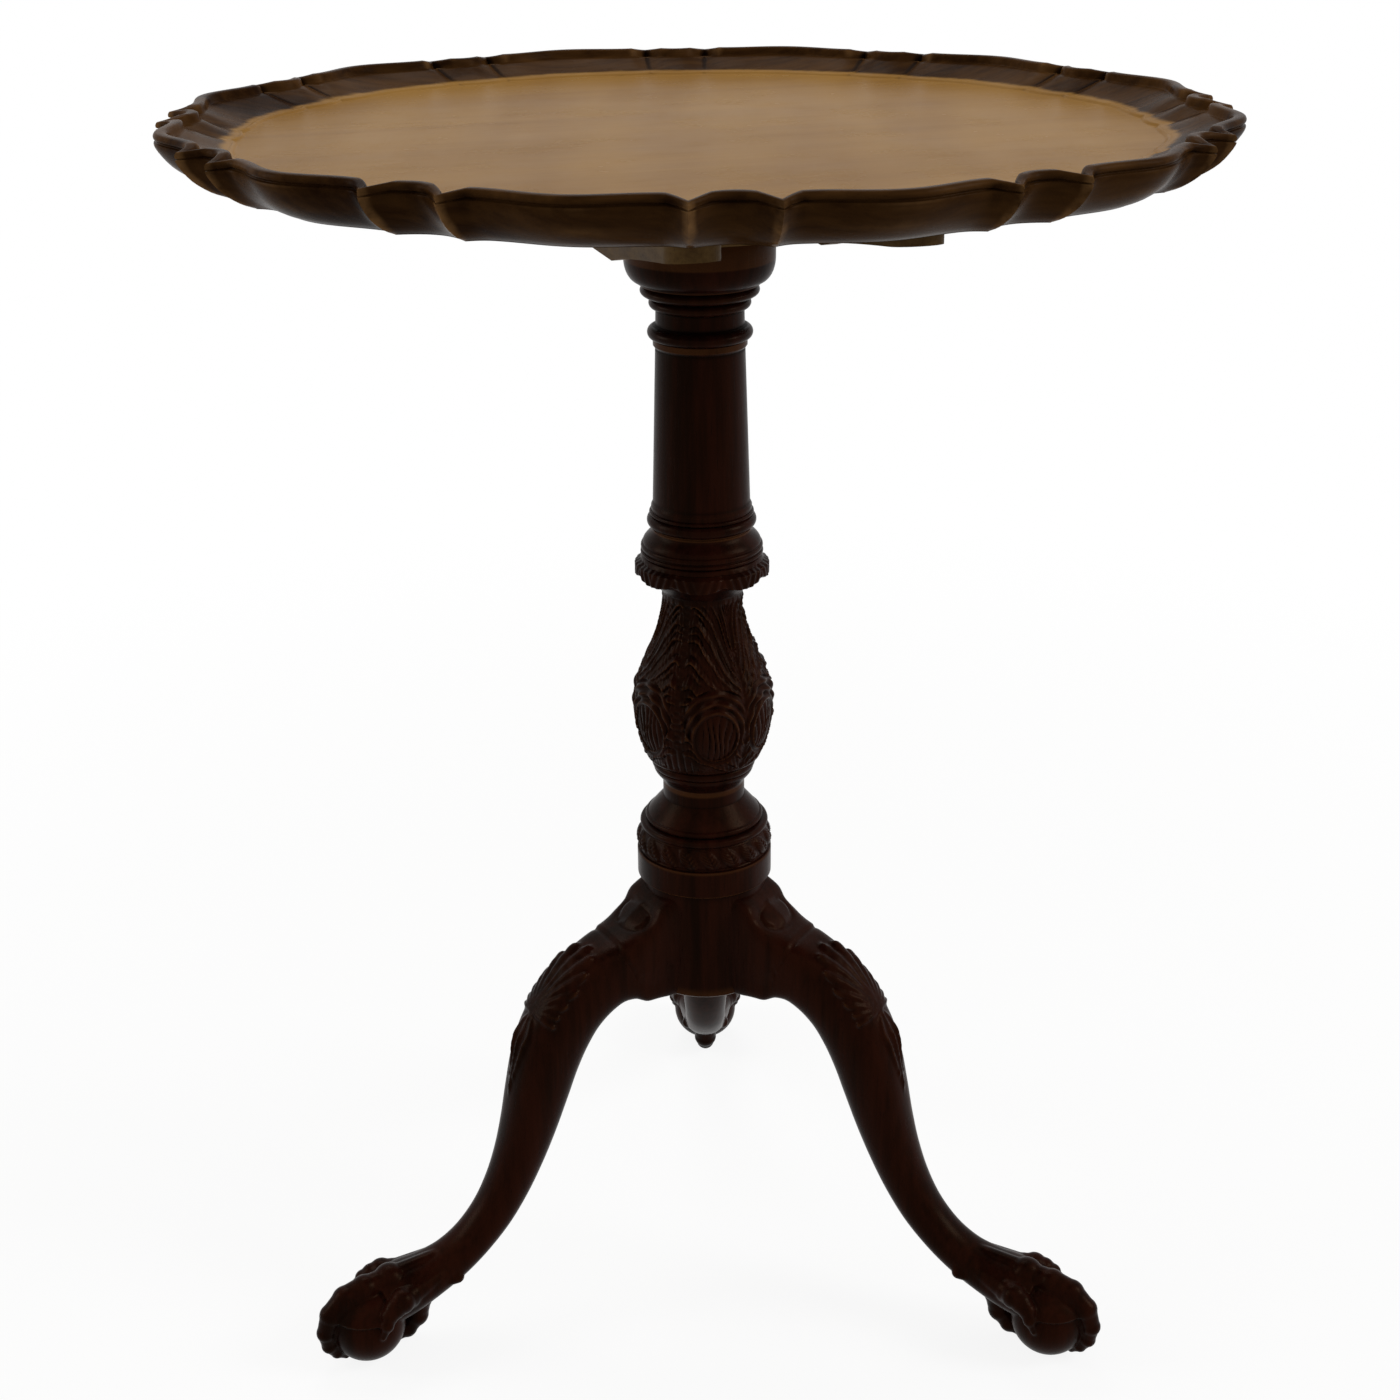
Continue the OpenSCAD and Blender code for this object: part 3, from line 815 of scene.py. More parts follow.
@dataclass
class PieCrustTop:
    """The dished board with its scalloped, moulded rim."""

    name: str = "crust_top"
    under_z: float = 0.686
    crest_r: float = 0.272
    crest_w: float = 7.0
    slope_w: float = 27.0
    wall_draw: float = 21.5
    scallops: int = 12
    horn_at: float = 4 / 30
    hollow_at: float = 6.5 / 30
    horn_half: float = 2 / 30
    top_turn: float = math.radians(18.0)
    scoop_in: float = 8.0
    horn_out: float = 5.0
    swell_out: float = 5.0
    hollow_in: float = 3.0
    horn_dip: float = 2.0
    around: int = 720

    def section(self) -> list[tuple[float, float, float]]:
        """The rim's moulded section, from the underside over the crest to the field.

        Returns:
            Offsets from the crest and heights over the underside in mm, and the scallop's share.
        """
        draw, slope, inner = self.wall_draw, self.slope_w, self.crest_w
        wall = [
            (-draw, 0.0, 0.60), (-0.985 * draw, 0.25, 0.605), (-0.66 * draw, 3.25, 0.72),
            (-0.30 * draw, 9.0, 0.85), (-0.06 * draw, 16.0, 0.96), (0.0, 19.6, 1.0),
            (-1.0, 20.6, 1.0), (-1.1, 21.2, 1.0), (-0.2, 21.9, 1.0), (0.0, 23.2, 1.0),
            (-0.8, 24.6, 1.0), (-2.2, 25.0, 1.0),
        ]
        start = -inner - slope
        inside = [
            (-inner + 2.2, 25.0, 1.0), (-inner + 0.9, 24.6, 1.0), (-inner + 0.2, 23.6, 1.0),
            (-inner - 0.4, 21.6, 1.0), (-inner - 0.9, 20.6, 0.99), (-inner - 1.7, 20.3, 0.97),
            (start + 0.86 * slope, 19.7, 0.90), (start + 0.64 * slope, 17.4, 0.70),
            (start + 0.34 * slope, 14.6, 0.50), (start + 0.14 * slope, 13.45, 0.40),
            (start + 2.2, 13.2, 0.35), (start + 1.2, 13.35, 0.34), (start + 0.2, 13.0, 0.32),
            (start - 0.9, 12.15, 0.31), (start - 1.5, 12.0, 0.30),
        ]
        return self.eased(wall) + self.eased(inside)

    @staticmethod
    def eased(points: Sequence[tuple[float, float, float]]) -> list[tuple[float, float, float]]:
        """Draws a smooth line through points.

        Args:
            points: The points.

        Returns:
            Three points for each stretch of the line.
        """
        out: list[tuple[float, float, float]] = []
        rows = [np.array(p) for p in points]
        for i in range(len(rows) - 1):
            before = rows[max(i - 1, 0)]
            after = rows[min(i + 2, len(rows) - 1)]
            for share in (0.0, 1 / 3, 2 / 3):
                out.append(tuple(curved(before, rows[i], rows[i + 1], after, share)))
        out.append(tuple(rows[-1]))
        return out

    def rings(self) -> Array:
        """The board's rings, from the underside's middle over the rim to the field's middle.

        Returns:
            Rows of offset and height in mm, the scallop's share, and the share of the radius.
        """
        shape = self.section()
        low, high = shape[0], shape[-1]
        under = [(*low, share) for share in (0.0, 0.3, 0.6, 0.85, 0.96, 0.99)]
        dish = [(*high, share) for share in (0.995, 0.98, 0.95, 0.9, 0.8, 0.6, 0.3, 0.0)]
        return np.array(under + [(*point, 1.0) for point in shape] + dish)

    def crust(self, share: Array) -> Array:
        """How far the crest stands out along a scallop.

        Args:
            share: Share of the scallop from its small lobe's middle, 0 to 0.5.

        Returns:
            The offset in mm.
        """
        # the small lobe up to the horn, the hollow beside it, and the long lobe
        horn, hollow = self.horn_at, self.hollow_at
        small = -self.scoop_in + (self.scoop_in + self.horn_out) * (share / horn) ** 2
        fall = ((hollow - share) / (hollow - horn)) ** 2
        cup = -self.hollow_in + (self.hollow_in + self.horn_out) * fall
        rise = (1 - np.cos(np.pi * np.clip((share - hollow) / (0.5 - hollow), 0, 1))) / 2
        long = -self.hollow_in + (self.swell_out + self.hollow_in) * rise
        return np.where(share <= horn, small, np.where(share <= hollow, cup, long))

    def in_scallop(self, angle: Array) -> Array:
        """Where angles lie in their scallops.

        Args:
            angle: Turns about the board's axis, from a scallop's middle.

        Returns:
            Shares of the scallop from its small lobe's middle, 0 to 0.5.
        """
        along = (angle / TURN * self.scallops - 0.5) % 1.0
        return np.minimum(along, 1 - along)

    def place(self, turn: Array, share: Array) -> Array:
        """Places the points of the board.

        Args:
            turn: Each point's turn about the board's axis.
            share: Each point's share of the way from the underside's middle to the field's.

        Returns:
            The places.
        """
        rings = self.rings()
        row = np.round(share * (len(rings) - 1)).astype(int)
        offset, height, scallop, inward = rings[row].T
        angle = turn - self.top_turn + math.pi / 2
        angle = np.where((row == 0) | (row == len(rings) - 1), 0.0, angle)
        near = self.in_scallop(angle)
        # the carver's hand wavers a little
        hand = 0.35 * np.sin(5 * angle + 0.7) + 0.25 * np.sin(17 * angle + 2.1)
        radius = self.crest_r / MM + offset + scallop * (self.crust(near) + hand)
        radius = radius * inward
        horn = np.clip(1 - np.abs(near - self.horn_at) / self.horn_half, 0, 1)
        upper = smoothstep(0.72, 0.9, height / 25.0) * (scallop > 0.9)
        height = height - upper * self.horn_dip * horn
        world = angle - math.pi / 2 + self.top_turn
        return np.stack([
            radius * np.cos(world) * MM, radius * np.sin(world) * MM, self.under_z + height * MM,
        ], axis=1)

    def build(self) -> Piece:
        """Builds the board.

        Returns:
            The piece.
        """
        obj = Bench.pulled_ball(self.name, self.around, len(self.rings()) - 1, self.place)
        Bench.smooth(obj, 38.0)
        places = Bench.read(obj.data.vertices, "co")
        reach = np.hypot(places[:, 0], places[:, 1]) / MM
        height = (places[:, 2] - self.under_z) / MM
        angle = np.arctan2(places[:, 1], places[:, 0]) - self.top_turn + math.pi / 2
        offset, _, scallop = self.section()[-1]
        edge = self.crest_r / MM + offset + scallop * self.crust(self.in_scallop(angle))
        pale = smoothstep(15.0, -6.0, reach - edge) * (height > 6)
        Bench.mark(obj, "dish", np.clip(pale * 1.6, 0, 1))
        Bench.mark(obj, "below", (height < 0.15).astype(float))
        radial = places[:, :2] / np.maximum(reach, 1.0)[:, None] / MM
        outward = Bench.read(obj.data.vertex_normals, "vector")[:, :2]
        outward = (outward * radial).sum(axis=1)
        # the outer wall's mask, which the finish uses for painted shade
        Bench.mark(obj, "wall", smoothstep(0.05, 0.45, outward) * smoothstep(24.0, 21.5, height))
        Bench.mark_hollows(obj, 5, 0.0006)
        obj.data.materials.append(FieldMahogany().build())
        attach(obj, Body.TOP.value)
        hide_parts("top_board")
        return obj


@dataclass
class CarvedPillar:
    """The turned pillar with its carved vase, leaf collar and roll."""

    socket_r: float = 37.0
    socket_z: float = 195.0
    band_z: float = 264.0
    roll_z: float = 275.0
    bell_z: float = 290.0
    low_neck_z: float = 316.0
    vase_foot_z: float = 324.0
    vase_z: float = 340.0
    collar_z: float = 441.0
    ring_z: float = 482.0
    shaft_z: float = 496.0
    shaft_top_z: float = 583.2
    capital_z: float = 604.2
    capital_top_z: float = 645.2
    band_r: float = 40.0
    low_neck_r: float = 24.0
    vase_r: float = 40.4
    vase_top_r: float = 23.3
    collar_r: float = 37.6
    foot_r: float = 27.3
    head_r: float = 24.6
    capital_r: float = 40.9
    belly_h: float = 37.0
    roll_leaves: int = 19
    leaves: int = 3
    leaf_turn: float = math.radians(-112.0)
    leaflet_gap: float = 5.4
    scroll_up: float = 26.0
    scroll_r: float = 18.5
    scroll_gap: float = 5.0
    shell_r: float = 14.4
    collar_lobes: int = 8

    @staticmethod
    def arc(
        r: float, z: float, wide: float, tall: float, start: float, stop: float, steps: int
    ) -> list[tuple[float, float]]:
        """Points of an elliptical arc.

        Args:
            r: Radius of its middle.
            z: Height of its middle.
            wide: Its half width.
            tall: Its half height.
            start: First angle in degrees.
            stop: Last angle in degrees.
            steps: How many stretches it has.

        Returns:
            Radii and heights.
        """
        angles = np.radians(np.linspace(start, stop, steps + 1))
        return [(r + wide * math.cos(a), z + tall * math.sin(a)) for a in angles]

    def bead(
        self, r: float, out: float, low: float, high: float, steps: int = 14
    ) -> list[tuple[float, float]]:
        """A bead between two heights.

        Args:
            r: Its inner radius.
            out: How far it stands out.
            low: Its lower height.
            high: Its upper height.
            steps: How many stretches it has.

        Returns:
            Radii and heights.
        """
        return self.arc(r, (low + high) / 2, out, (high - low) / 2, -90, 90, steps)

    @staticmethod
    def swept(
        r0: float, r1: float, z0: float, z1: float, power: float, steps: int, even: bool = False
    ) -> list[tuple[float, float]]:
        """A curve from one radius and height to another.

        Args:
            r0: First radius.
            r1: Last radius.
            z0: First height.
            z1: Last height.
            power: How the radius lags.
            steps: How many stretches it has.
            even: True to ease at both ends.

        Returns:
            Radii and heights.
        """
        out = []
        for i in range(steps + 1):
            share = i / steps
            pull = share ** power
            pull = (1 - math.cos(math.pi * pull)) / 2 if even else pull
            out.append((r0 + (r1 - r0) * pull, z0 + (z1 - z0) * share))
        return out

    def base_line(self) -> list[tuple[float, float]]:
        """The line of the part between the legs, the band, the carved roll and the bell.

        Returns:
            Radii and heights in mm.
        """
        socket, band, neck = self.socket_r, self.band_r, self.low_neck_r
        low, top = self.roll_z + 6, self.bell_z + 5
        lip = band - 1.6
        leaf = [
            (lip + 2.2 * math.sin(math.pi * s) ** 0.6 - 1.6 * s, low + (top - low) * s)
            for s in np.linspace(0.0, 1.0, 37)
        ]
        return [
            (socket - 1, self.socket_z), (socket, self.socket_z + 1),
            *self.swept(socket, socket, self.socket_z + 2, self.band_z - 0.6, 1, 12),
            (socket, self.band_z), (band - 0.6, self.band_z), (band, self.band_z + 0.6),
            *self.swept(band, band, self.band_z + 1, low - 1.0, 1, 8),
            (band - 0.3, low - 0.5), (lip, low - 0.2), *leaf,
            *self.bead(band - 3.6, 1.6, top + 0.5, top + 4.6, 10),
            *self.bead(band - 6.9, 1.7, top + 5.1, top + 8.8, 10),
            *self.swept(band - 7.2, neck, top + 9.4, self.low_neck_z - 1, 1.05, 22),
            *self.swept(neck, neck, self.low_neck_z + 0.5, self.vase_foot_z, 1, 5),
        ]

    def vase_line(self) -> list[tuple[float, float]]:
        """The line of the vase with its foot, and of the leaf collar.

        Returns:
            Radii and heights in mm.
        """
        foot, vase = self.vase_foot_z, self.vase_z
        collar, ring = self.collar_z, self.ring_z
        belly, wide, leaf = vase + self.belly_h, self.vase_r, self.collar_r
        rise = self.swept(wide, self.vase_top_r, belly, collar, 0.93, 92, True)
        return [
            *self.swept(self.low_neck_r, wide - 11, foot, vase - 6, 0.96, 14, True),
            *self.bead(wide - 11.6, 1.6, vase - 5.6, vase - 0.6, 12),
            *self.arc(wide - 10, belly, 10, self.belly_h, -88, 0, 64),
            *rise[1:],
            *self.swept(self.vase_top_r, leaf - 6, collar + 2, collar + 11, 1.0, 16),
            *self.arc(leaf - 5.2, collar + 16, 5.2, 4.4, -80, 80, 30),
            (leaf - 4.4, collar + 21.0),
            *self.bead(leaf - 4.6, 1.3, collar + 21.4, collar + 24.4, 8),
            *self.bead(leaf - 4.0, 1.1, collar + 24.8, collar + 27.2, 8),
            *self.bead(leaf - 4.2, 1.1, collar + 27.6, collar + 31.0, 8),
            *self.swept(leaf - 4.2, self.foot_r + 0.9, collar + 31.4, ring - 1, 1.0, 14, True),
        ]

    def shaft_line(self) -> list[tuple[float, float]]:
        """The line of the ring, shaft, necking and capital.

        Returns:
            Radii and heights in mm.
        """
        foot, head, wide = self.foot_r, self.head_r, self.capital_r
        ring, shaft, top = self.ring_z, self.shaft_z, self.shaft_top_z
        cap, end = self.capital_z, self.capital_top_z
        return [
            (foot + 0.5, ring - 1.4), (foot + 0.6, ring - 0.2),
            *self.bead(foot + 0.6, 2.9, ring, ring + 6.6, 16),
            *self.bead(foot + 0.9, 1.2, ring + 6.9, ring + 9.3, 8),
            *self.swept(foot + 1, foot + 1, ring + 9.6, shaft - 2, 1, 4),
            *self.swept(foot, head, shaft, top, 1.0, 40),
            (head + 1.2, top + 1.6), (head + 1.2, top + 4.6),
            *self.bead(head + 0.8, 3.4, top + 5, top + 12, 16),
            *self.swept(head - 0.3, head - 0.5, top + 13.2, cap, 1, 6),
            *self.bead(head, 3.2, cap + 0.6, cap + 6.4, 12),
            *self.bead(head + 2.6, 5.2, cap + 7, cap + 13.6, 14),
            (head + 8.4, cap + 14), (head + 9, cap + 15.4),
            *self.arc(head + 9, cap + 28, wide - head - 9, 12.6, -82, 0, 20),
            (wide, end - 1.5), (wide - 1, end),
        ]

    def turned(
        self, name: str, line: Sequence[tuple[float, float]], around: int,
        carve: Optional[Callable[[Array, Array, Array], Array]], low: float, high: float,
    ) -> Piece:
        """Turns a line about the pillar's axis and carves it.

        Args:
            name: The piece's name.
            line: Radii and heights in mm.
            around: Points round the axis.
            carve: Gives the carving's height in mm from turn, height and radius, where carved.
            low: Radius of the piece's hidden lower end.
            high: Radius of its hidden upper end.

        Returns:
            The piece.
        """
        rows = np.array([
            (0.0, line[0][1]), (low, line[0][1]), *line, (high, line[-1][1]), (0.0, line[-1][1]),
        ])

        def place(turn: Array, share: Array) -> Array:
            """Places the piece's points.

            Args:
                turn: Each point's turn about the axis.
                share: Its share of the way from end to end.

            Returns:
                The places in metres.
            """
            row = np.round(share * (len(rows) - 1)).astype(int)
            radius, height = rows[row].T
            depth = np.zeros_like(radius)
            if carve is not None:
                depth = carve(turn, height, radius)
                depth = np.where((row < 2) | (row > len(rows) - 3), 0.0, depth)
            radius = radius + depth
            return np.stack([radius * np.cos(turn), radius * np.sin(turn), height], axis=1) * MM

        return Bench.pulled_ball(name, around, len(rows) - 1, place)

    def roll_carving(self, turn: Array, height: Array, radius: Array) -> Array:
        """The leaf and ribbon band of the roll.

        Args:
            turn: Each point's turn.
            height: Its height in mm.
            radius: Its radius in mm, which this band doesn't need.

        Returns:
            The carving's height in mm.
        """
        middle = (self.roll_z + self.bell_z + 11) / 2
        up = (height - middle) / 6.8
        inside = smoothstep(1.02, 0.86, np.abs(up))
        across = (turn * self.roll_leaves / TURN + 0.28 * up) % 1.0 - 0.5
        leaf = np.clip(1 - (across / 0.42) ** 2 - (up / 0.98) ** 2, 0, 1) ** 0.5
        vein = swell(across, 0.05, 0.06) * 0.5
        notch = 0.22 * wave(3.2 * up - 5 * np.abs(across))
        return inside * (1.6 * leaf - 1.15 - vein * leaf + 1.3 * notch * leaf)

    def vase_carving(self, turn: Array, height: Array, radius: Array) -> Array:
        """Acanthus on the vase and its collar.

        Args:
            turn: Each point's turn.
            height: Its height in mm.
            radius: Its radius in mm.

        Returns:
            The carving's height in mm.
        """
        leaves = self.leaf_carving(turn, height, np.maximum(radius, 1.0))
        return leaves + self.collar_carving(turn, height, radius)

    def leaf_carving(self, turn: Array, height: Array, radius: Array) -> Array:
        """The vase's acanthus leaves.

        Args:
            turn: Each point's turn.
            height: Its height in mm.
            radius: Its radius in mm.

        Returns:
            The carving's height in mm.
        """
        up = height - self.vase_z
        tall = self.collar_z - self.vase_z
        around = wrapped((turn - self.leaf_turn) * self.leaves) / self.leaves
        half = math.pi / self.leaves * radius
        reach = np.abs(around * radius)
        share = np.clip(up / tall, 0, 1)
        side = np.clip(reach / half, 0, 1)
        # leaflets that arch from the stem, droop, and run on as fronds to the leaf's border
        neck = smoothstep(0.42, 0.85, share)
        arch = 2.7 * np.sin(math.pi * np.clip(reach, 0, 11.0) / 11.0)
        droop = 0.02 * np.clip(reach - 4.0, 0, None) ** 2 * (1.0 + 3.2 * neck)
        sway = 0.9 * np.sin(up / 7.3 + 0.4) + 0.35 * np.sin(reach * 0.9 + up / 5.0)
        beat = (up - arch + droop + sway) / self.leaflet_gap
        beat = beat + 0.16 * np.sin(TURN * beat / 3.0)
        order = np.floor(beat)
        within = beat - order
        bold = 0.85 + 0.4 * wave((beat - 0.3) / 2.0)
        shingle = smoothstep(0.0, 0.2, within) * (1.25 - 0.85 * within)
        swing = 7.0 + 2.6 * np.sin(order * 2.4)
        curl = swell(reach, swing, 3.0) * swell(within, 0.35, 0.24)
        under = 0.7 * swell(reach, swing, 4.0) * smoothstep(0.66, 0.95, within)
        # fine lines that run with the leaflets, up the fronds and beside the stem
        lines = 0.5 + 0.5 * np.cos(2 * TURN * beat + 1.2)
        hair = 0.5 + 0.5 * wave(15.0 * (side + 0.85 * share))
        streak = 0.5 + 0.5 * wave(reach / 2.3 + 0.35 * np.sin(up / 6.0))
        outer = smoothstep(12.0, 20.0, reach)
        leafage = 0.3 + shingle * bold + 0.2 * lines + 0.36 * hair * outer
        leafage = leafage + (0.34 * streak + curl - under) * (1 - outer)
        # the notched stem, and the sheath that it springs from
        stem = smoothstep(2.2, 1.2, reach)
        leafage = leafage * (1 - stem) + (1.0 + 0.3 * wave(up / 3.6)) * stem
        low = smoothstep(24.0, 15.0, up + reach) * smoothstep(12.0, 10.0, reach)
        leafage = leafage * (1 - low) + (0.4 + 1.0 * np.abs(np.cos(reach * math.pi / 4.2))) * low
        # the scrolls, the sunk border between the leaves, and how far all is let into the vase
        scroll, here = self.scroll_carving(reach, half, up)
        leafage = leafage * (1 - here) + scroll * here
        border = smoothstep(half - 0.5, half - 1.9, reach) * 0.6 + 0.4
        sink = 1.4 + 0.8 * smoothstep(0.45, 0.62, share) + 0.5 * smoothstep(0.24, 0.12, share)
        on_vase = smoothstep(1.5, 4.0, up) * smoothstep(tall + 2.0, tall - 3.0, up)
        return on_vase * (leafage * border - sink)

    def scroll_carving(self, reach: Array, half: Array, up: Array) -> tuple[Array, Array]:
        """A large scroll with a shell in it low on each side, its rings running over the top.

        Args:
            reach: Distance from the leaf's stem in mm.
            half: The leaf's half width in mm.
            up: Height over the vase's foot in mm.

        Returns:
            The scroll's height in mm, and its share of the surface, 1 on the scroll.
        """
        sx, sy = (reach - 0.56 * half) / 0.85, up - self.scroll_up
        ring, angle = np.hypot(sx, sy), np.arctan2(sy, sx)
        spiral = wave(ring / self.scroll_gap - angle / TURN)
        bent = sx / (4.0 + 0.05 * sy) + 0.22 * np.sin(sy / 4.6 + sx * 0.3)
        ribs = np.abs(np.cos(math.pi * bent)) ** 0.7
        shell = 0.2 + 1.35 * ribs * np.clip(1 - (ring / 15.0) ** 2, 0, 1) ** 0.4
        scroll = np.where(ring < self.shell_r, shell, 1.15 + 0.75 * spiral)
        crown = smoothstep(-0.2, 0.75, np.sin(angle))
        curls = 0.75 * crown * smoothstep(16.0, 19.0, ring) * np.cos(9.0 * angle + ring / 2.6)
        limit = self.scroll_r + 11.0 * crown
        here = smoothstep(limit, limit - 1.2, ring) * smoothstep(2.2, 3.6, reach)
        return scroll + curls, here

    def collar_carving(self, turn: Array, height: Array, radius: Array) -> Array:
        """The collar's leaves, whose tips curl over.

        Args:
            turn: Each point's turn.
            height: Its height in mm.
            radius: Its radius in mm.

        Returns:
            The carving's height in mm.
        """
        above = height - self.collar_z
        beat = wrapped(turn * self.collar_lobes + 0.5) / math.pi
        tip = np.cos(beat * math.pi / 2)
        edge = 10.6 + 3.4 * (1 - tip) ** 1.3
        hang = smoothstep(edge, edge + 1.6, above) * smoothstep(23.5, 18.5, above)
        fan = wave(np.abs(beat) * 3.0 - above / 14.0)
        curled = self.collar_r + 0.4 - 0.011 * (above - 15.5) ** 2 - radius
        flare = np.clip(curled, 0, None) * (0.5 + 0.5 * tip ** 0.6)
        lowered = 0.9 * smoothstep(1.0, 3.0, above) * smoothstep(23.5, 17.0, above)
        return hang * (flare + 0.7 + 0.4 * fan) - lowered

    def build(self, finish: Material) -> list[Piece]:
        """Builds the pillar's three stretches.

        Args:
            finish: The polished mahogany.

        Returns:
            The pieces.
        """
        base = self.turned("pillar_base", self.base_line(), 288, self.roll_carving, 12, 20)
        vase = self.turned("pillar_vase", self.vase_line(), 350, self.vase_carving, 20, 22)
        shaft = self.turned("pillar_shaft", self.shaft_line(), 160, None, 20, 16)
        for obj, angle in ((base, 34.0), (vase, 42.0), (shaft, 34.0)):
            Bench.smooth(obj, angle)
            Bench.mark_hollows(obj, 5, 0.0005)
            obj.data.materials.append(finish)
            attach(obj, Body.BASE.value)
        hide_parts("pillar")
        return [base, vase, shaft]


@dataclass
class ClawFoot:
    """A bird's foot that grips a ball."""

    reach: float = 235.0
    ball_r: float = 22.5
    ball_z: float = 22.0
    toe_r: float = 8.0
    side_turn: float = 103.0
    palm_t: float = 2.4
    waist: float = 0.94
    tip_waist: float = 0.9

    def toes(self) -> list[tuple[float, list[tuple[float, ...]]]]:
        """Each toe's turn with its joints: angle over the ball, height over it and radius.

        Returns:
            The toes.
        """
        r = self.toe_r
        front = [
            (90, 1.8, r + 0.6), (60, 2.4, r + 0.3), (32, 3.4, r - 0.8), (6, 3.8, r - 2.2),
            (-16, 3.2, r - 3.0), (-34, 2.2, 4.0), (-50, 1.2, 2.4),
        ]
        side = [
            (37, 9.5, r, 47), (40, 8.0, r - 0.2, 33), (40, 5.6, r - 1.4, 19),
            (36, 3.8, r - 2.6, 5), (26, 2.8, 4.2, -3), (10, 0.8, 1.9, -11),
        ]
        rear = [
            (58, 7.0, r + 2.0), (34, 10.5, r + 1.4), (8, 10.8, r + 0.6), (-12, 8.6, r),
            (-30, 5.6, r - 1.6), (-46, 2.4, 3.6),
        ]
        turn = self.side_turn
        return [(0.0, front), (turn, side), (-turn, side), (180.0, rear)]

    def tendons(self) -> list[tuple[Vector, Vector, float, float]]:
        """The cords that run down the ankle to the toes: both ends and their radii.

        Returns:
            The cords.
        """
        (_, front), (turn, side), _, (_, rear) = self.toes()
        cords = [(Vector((0, 178, 52.8)), self.spot(0.0, front[0]), 4.0, front[0][2] * 0.9)]
        for hand in (1, -1):
            knuckle = self.spot(hand * turn, side[0])
            cords.append((Vector((-hand * 8.5, 180, 48.5)), knuckle, 4.0, side[0][2] * 0.9))
            heel = self.spot(180.0, rear[1]) + Vector((-hand * 5.0, 4.0, 0.0))
            cords.append((Vector((-hand * 12.5, 181, 42.0)), heel, 4.2, 5.6))
        return cords

    def spot(self, turn: float, joint: tuple[float, ...]) -> Vector:
        """A joint's place in mm.

        Args:
            turn: The toe's turn in degrees.
            joint: Its angle over the ball, height over it and radius, and how much further back
                it lies than the toe's turn.

        Returns:
            The place.
        """
        back = joint[3] * math.copysign(1.0, turn) if len(joint) > 3 else 0.0
        angle, around = math.radians(joint[0]), math.radians(turn + back)
        out = (self.ball_r + joint[1]) * math.cos(angle)
        up = (self.ball_r + joint[1]) * math.sin(angle)
        across, along = -math.sin(around) * out, self.reach + math.cos(around) * out
        return Vector((across, along, self.ball_z + up))

    @staticmethod
    def knob(spot: Vector, radius: float) -> Piece:
        """Makes a round knuckle.

        Args:
            spot: Its place in mm.
            radius: Its radius in mm.

        Returns:
            The knuckle.
        """
        return Bench.ball(spot * MM, radius * MM, 24, 14)

    @staticmethod
    def bone(a: Vector, b: Vector, ra: float, rb: float) -> Piece:
        """Makes a tapered bone between two places.

        Args:
            a: Its first end in mm.
            b: Its second end in mm.
            ra: Radius at the first end in mm.
            rb: Radius at the second end in mm.

        Returns:
            The bone.
        """
        Bench.clear()
        way = b - a
        bpy.ops.mesh.primitive_cone_add(
            vertices=24, radius1=ra * MM, radius2=rb * MM, depth=way.length * MM,
            location=(a + b) / 2 * MM, rotation=way.to_track_quat("Z", "Y").to_euler(),
        )
        return Bench.settle(bpy.context.object)

    def palm(self) -> Piece:
        """Makes the palm, which covers the ball's crown and ends in a crease round it.

        Returns:
            The palm.
        """
        middle = (0, self.reach * MM, self.ball_z * MM)
        obj = Bench.ball(middle, (self.ball_r + self.palm_t) * MM, 72, 48)
        Bench.cut_level(obj, (0, self.reach * MM, (self.ball_z + self.ball_r / 2) * MM))
        return obj

    def build(self) -> list[Piece]:
        """Builds the foot's loose forms, which overlap.

        Returns:
            The forms.
        """
        middle = (0, self.reach * MM, self.ball_z * MM)
        forms = [Bench.ball(middle, self.ball_r * MM, 96, 64), self.palm()]
        for turn, joints in self.toes():
            spots = [self.spot(turn, joint) for joint in joints]
            for i, (spot, joint) in enumerate(zip(spots, joints)):
                forms.append(self.knob(spot, joint[2]))
                if i + 1 < len(joints):
                    waist = self.waist if i < 3 else self.tip_waist
                    forms.append(self.bone(
                        spot, spots[i + 1], joint[2] * waist, joints[i + 1][2] * waist
                    ))
        for start, end, ra, rb in self.tendons():
            forms += [self.knob(start, ra), self.bone(start, end, ra, rb)]
        return forms


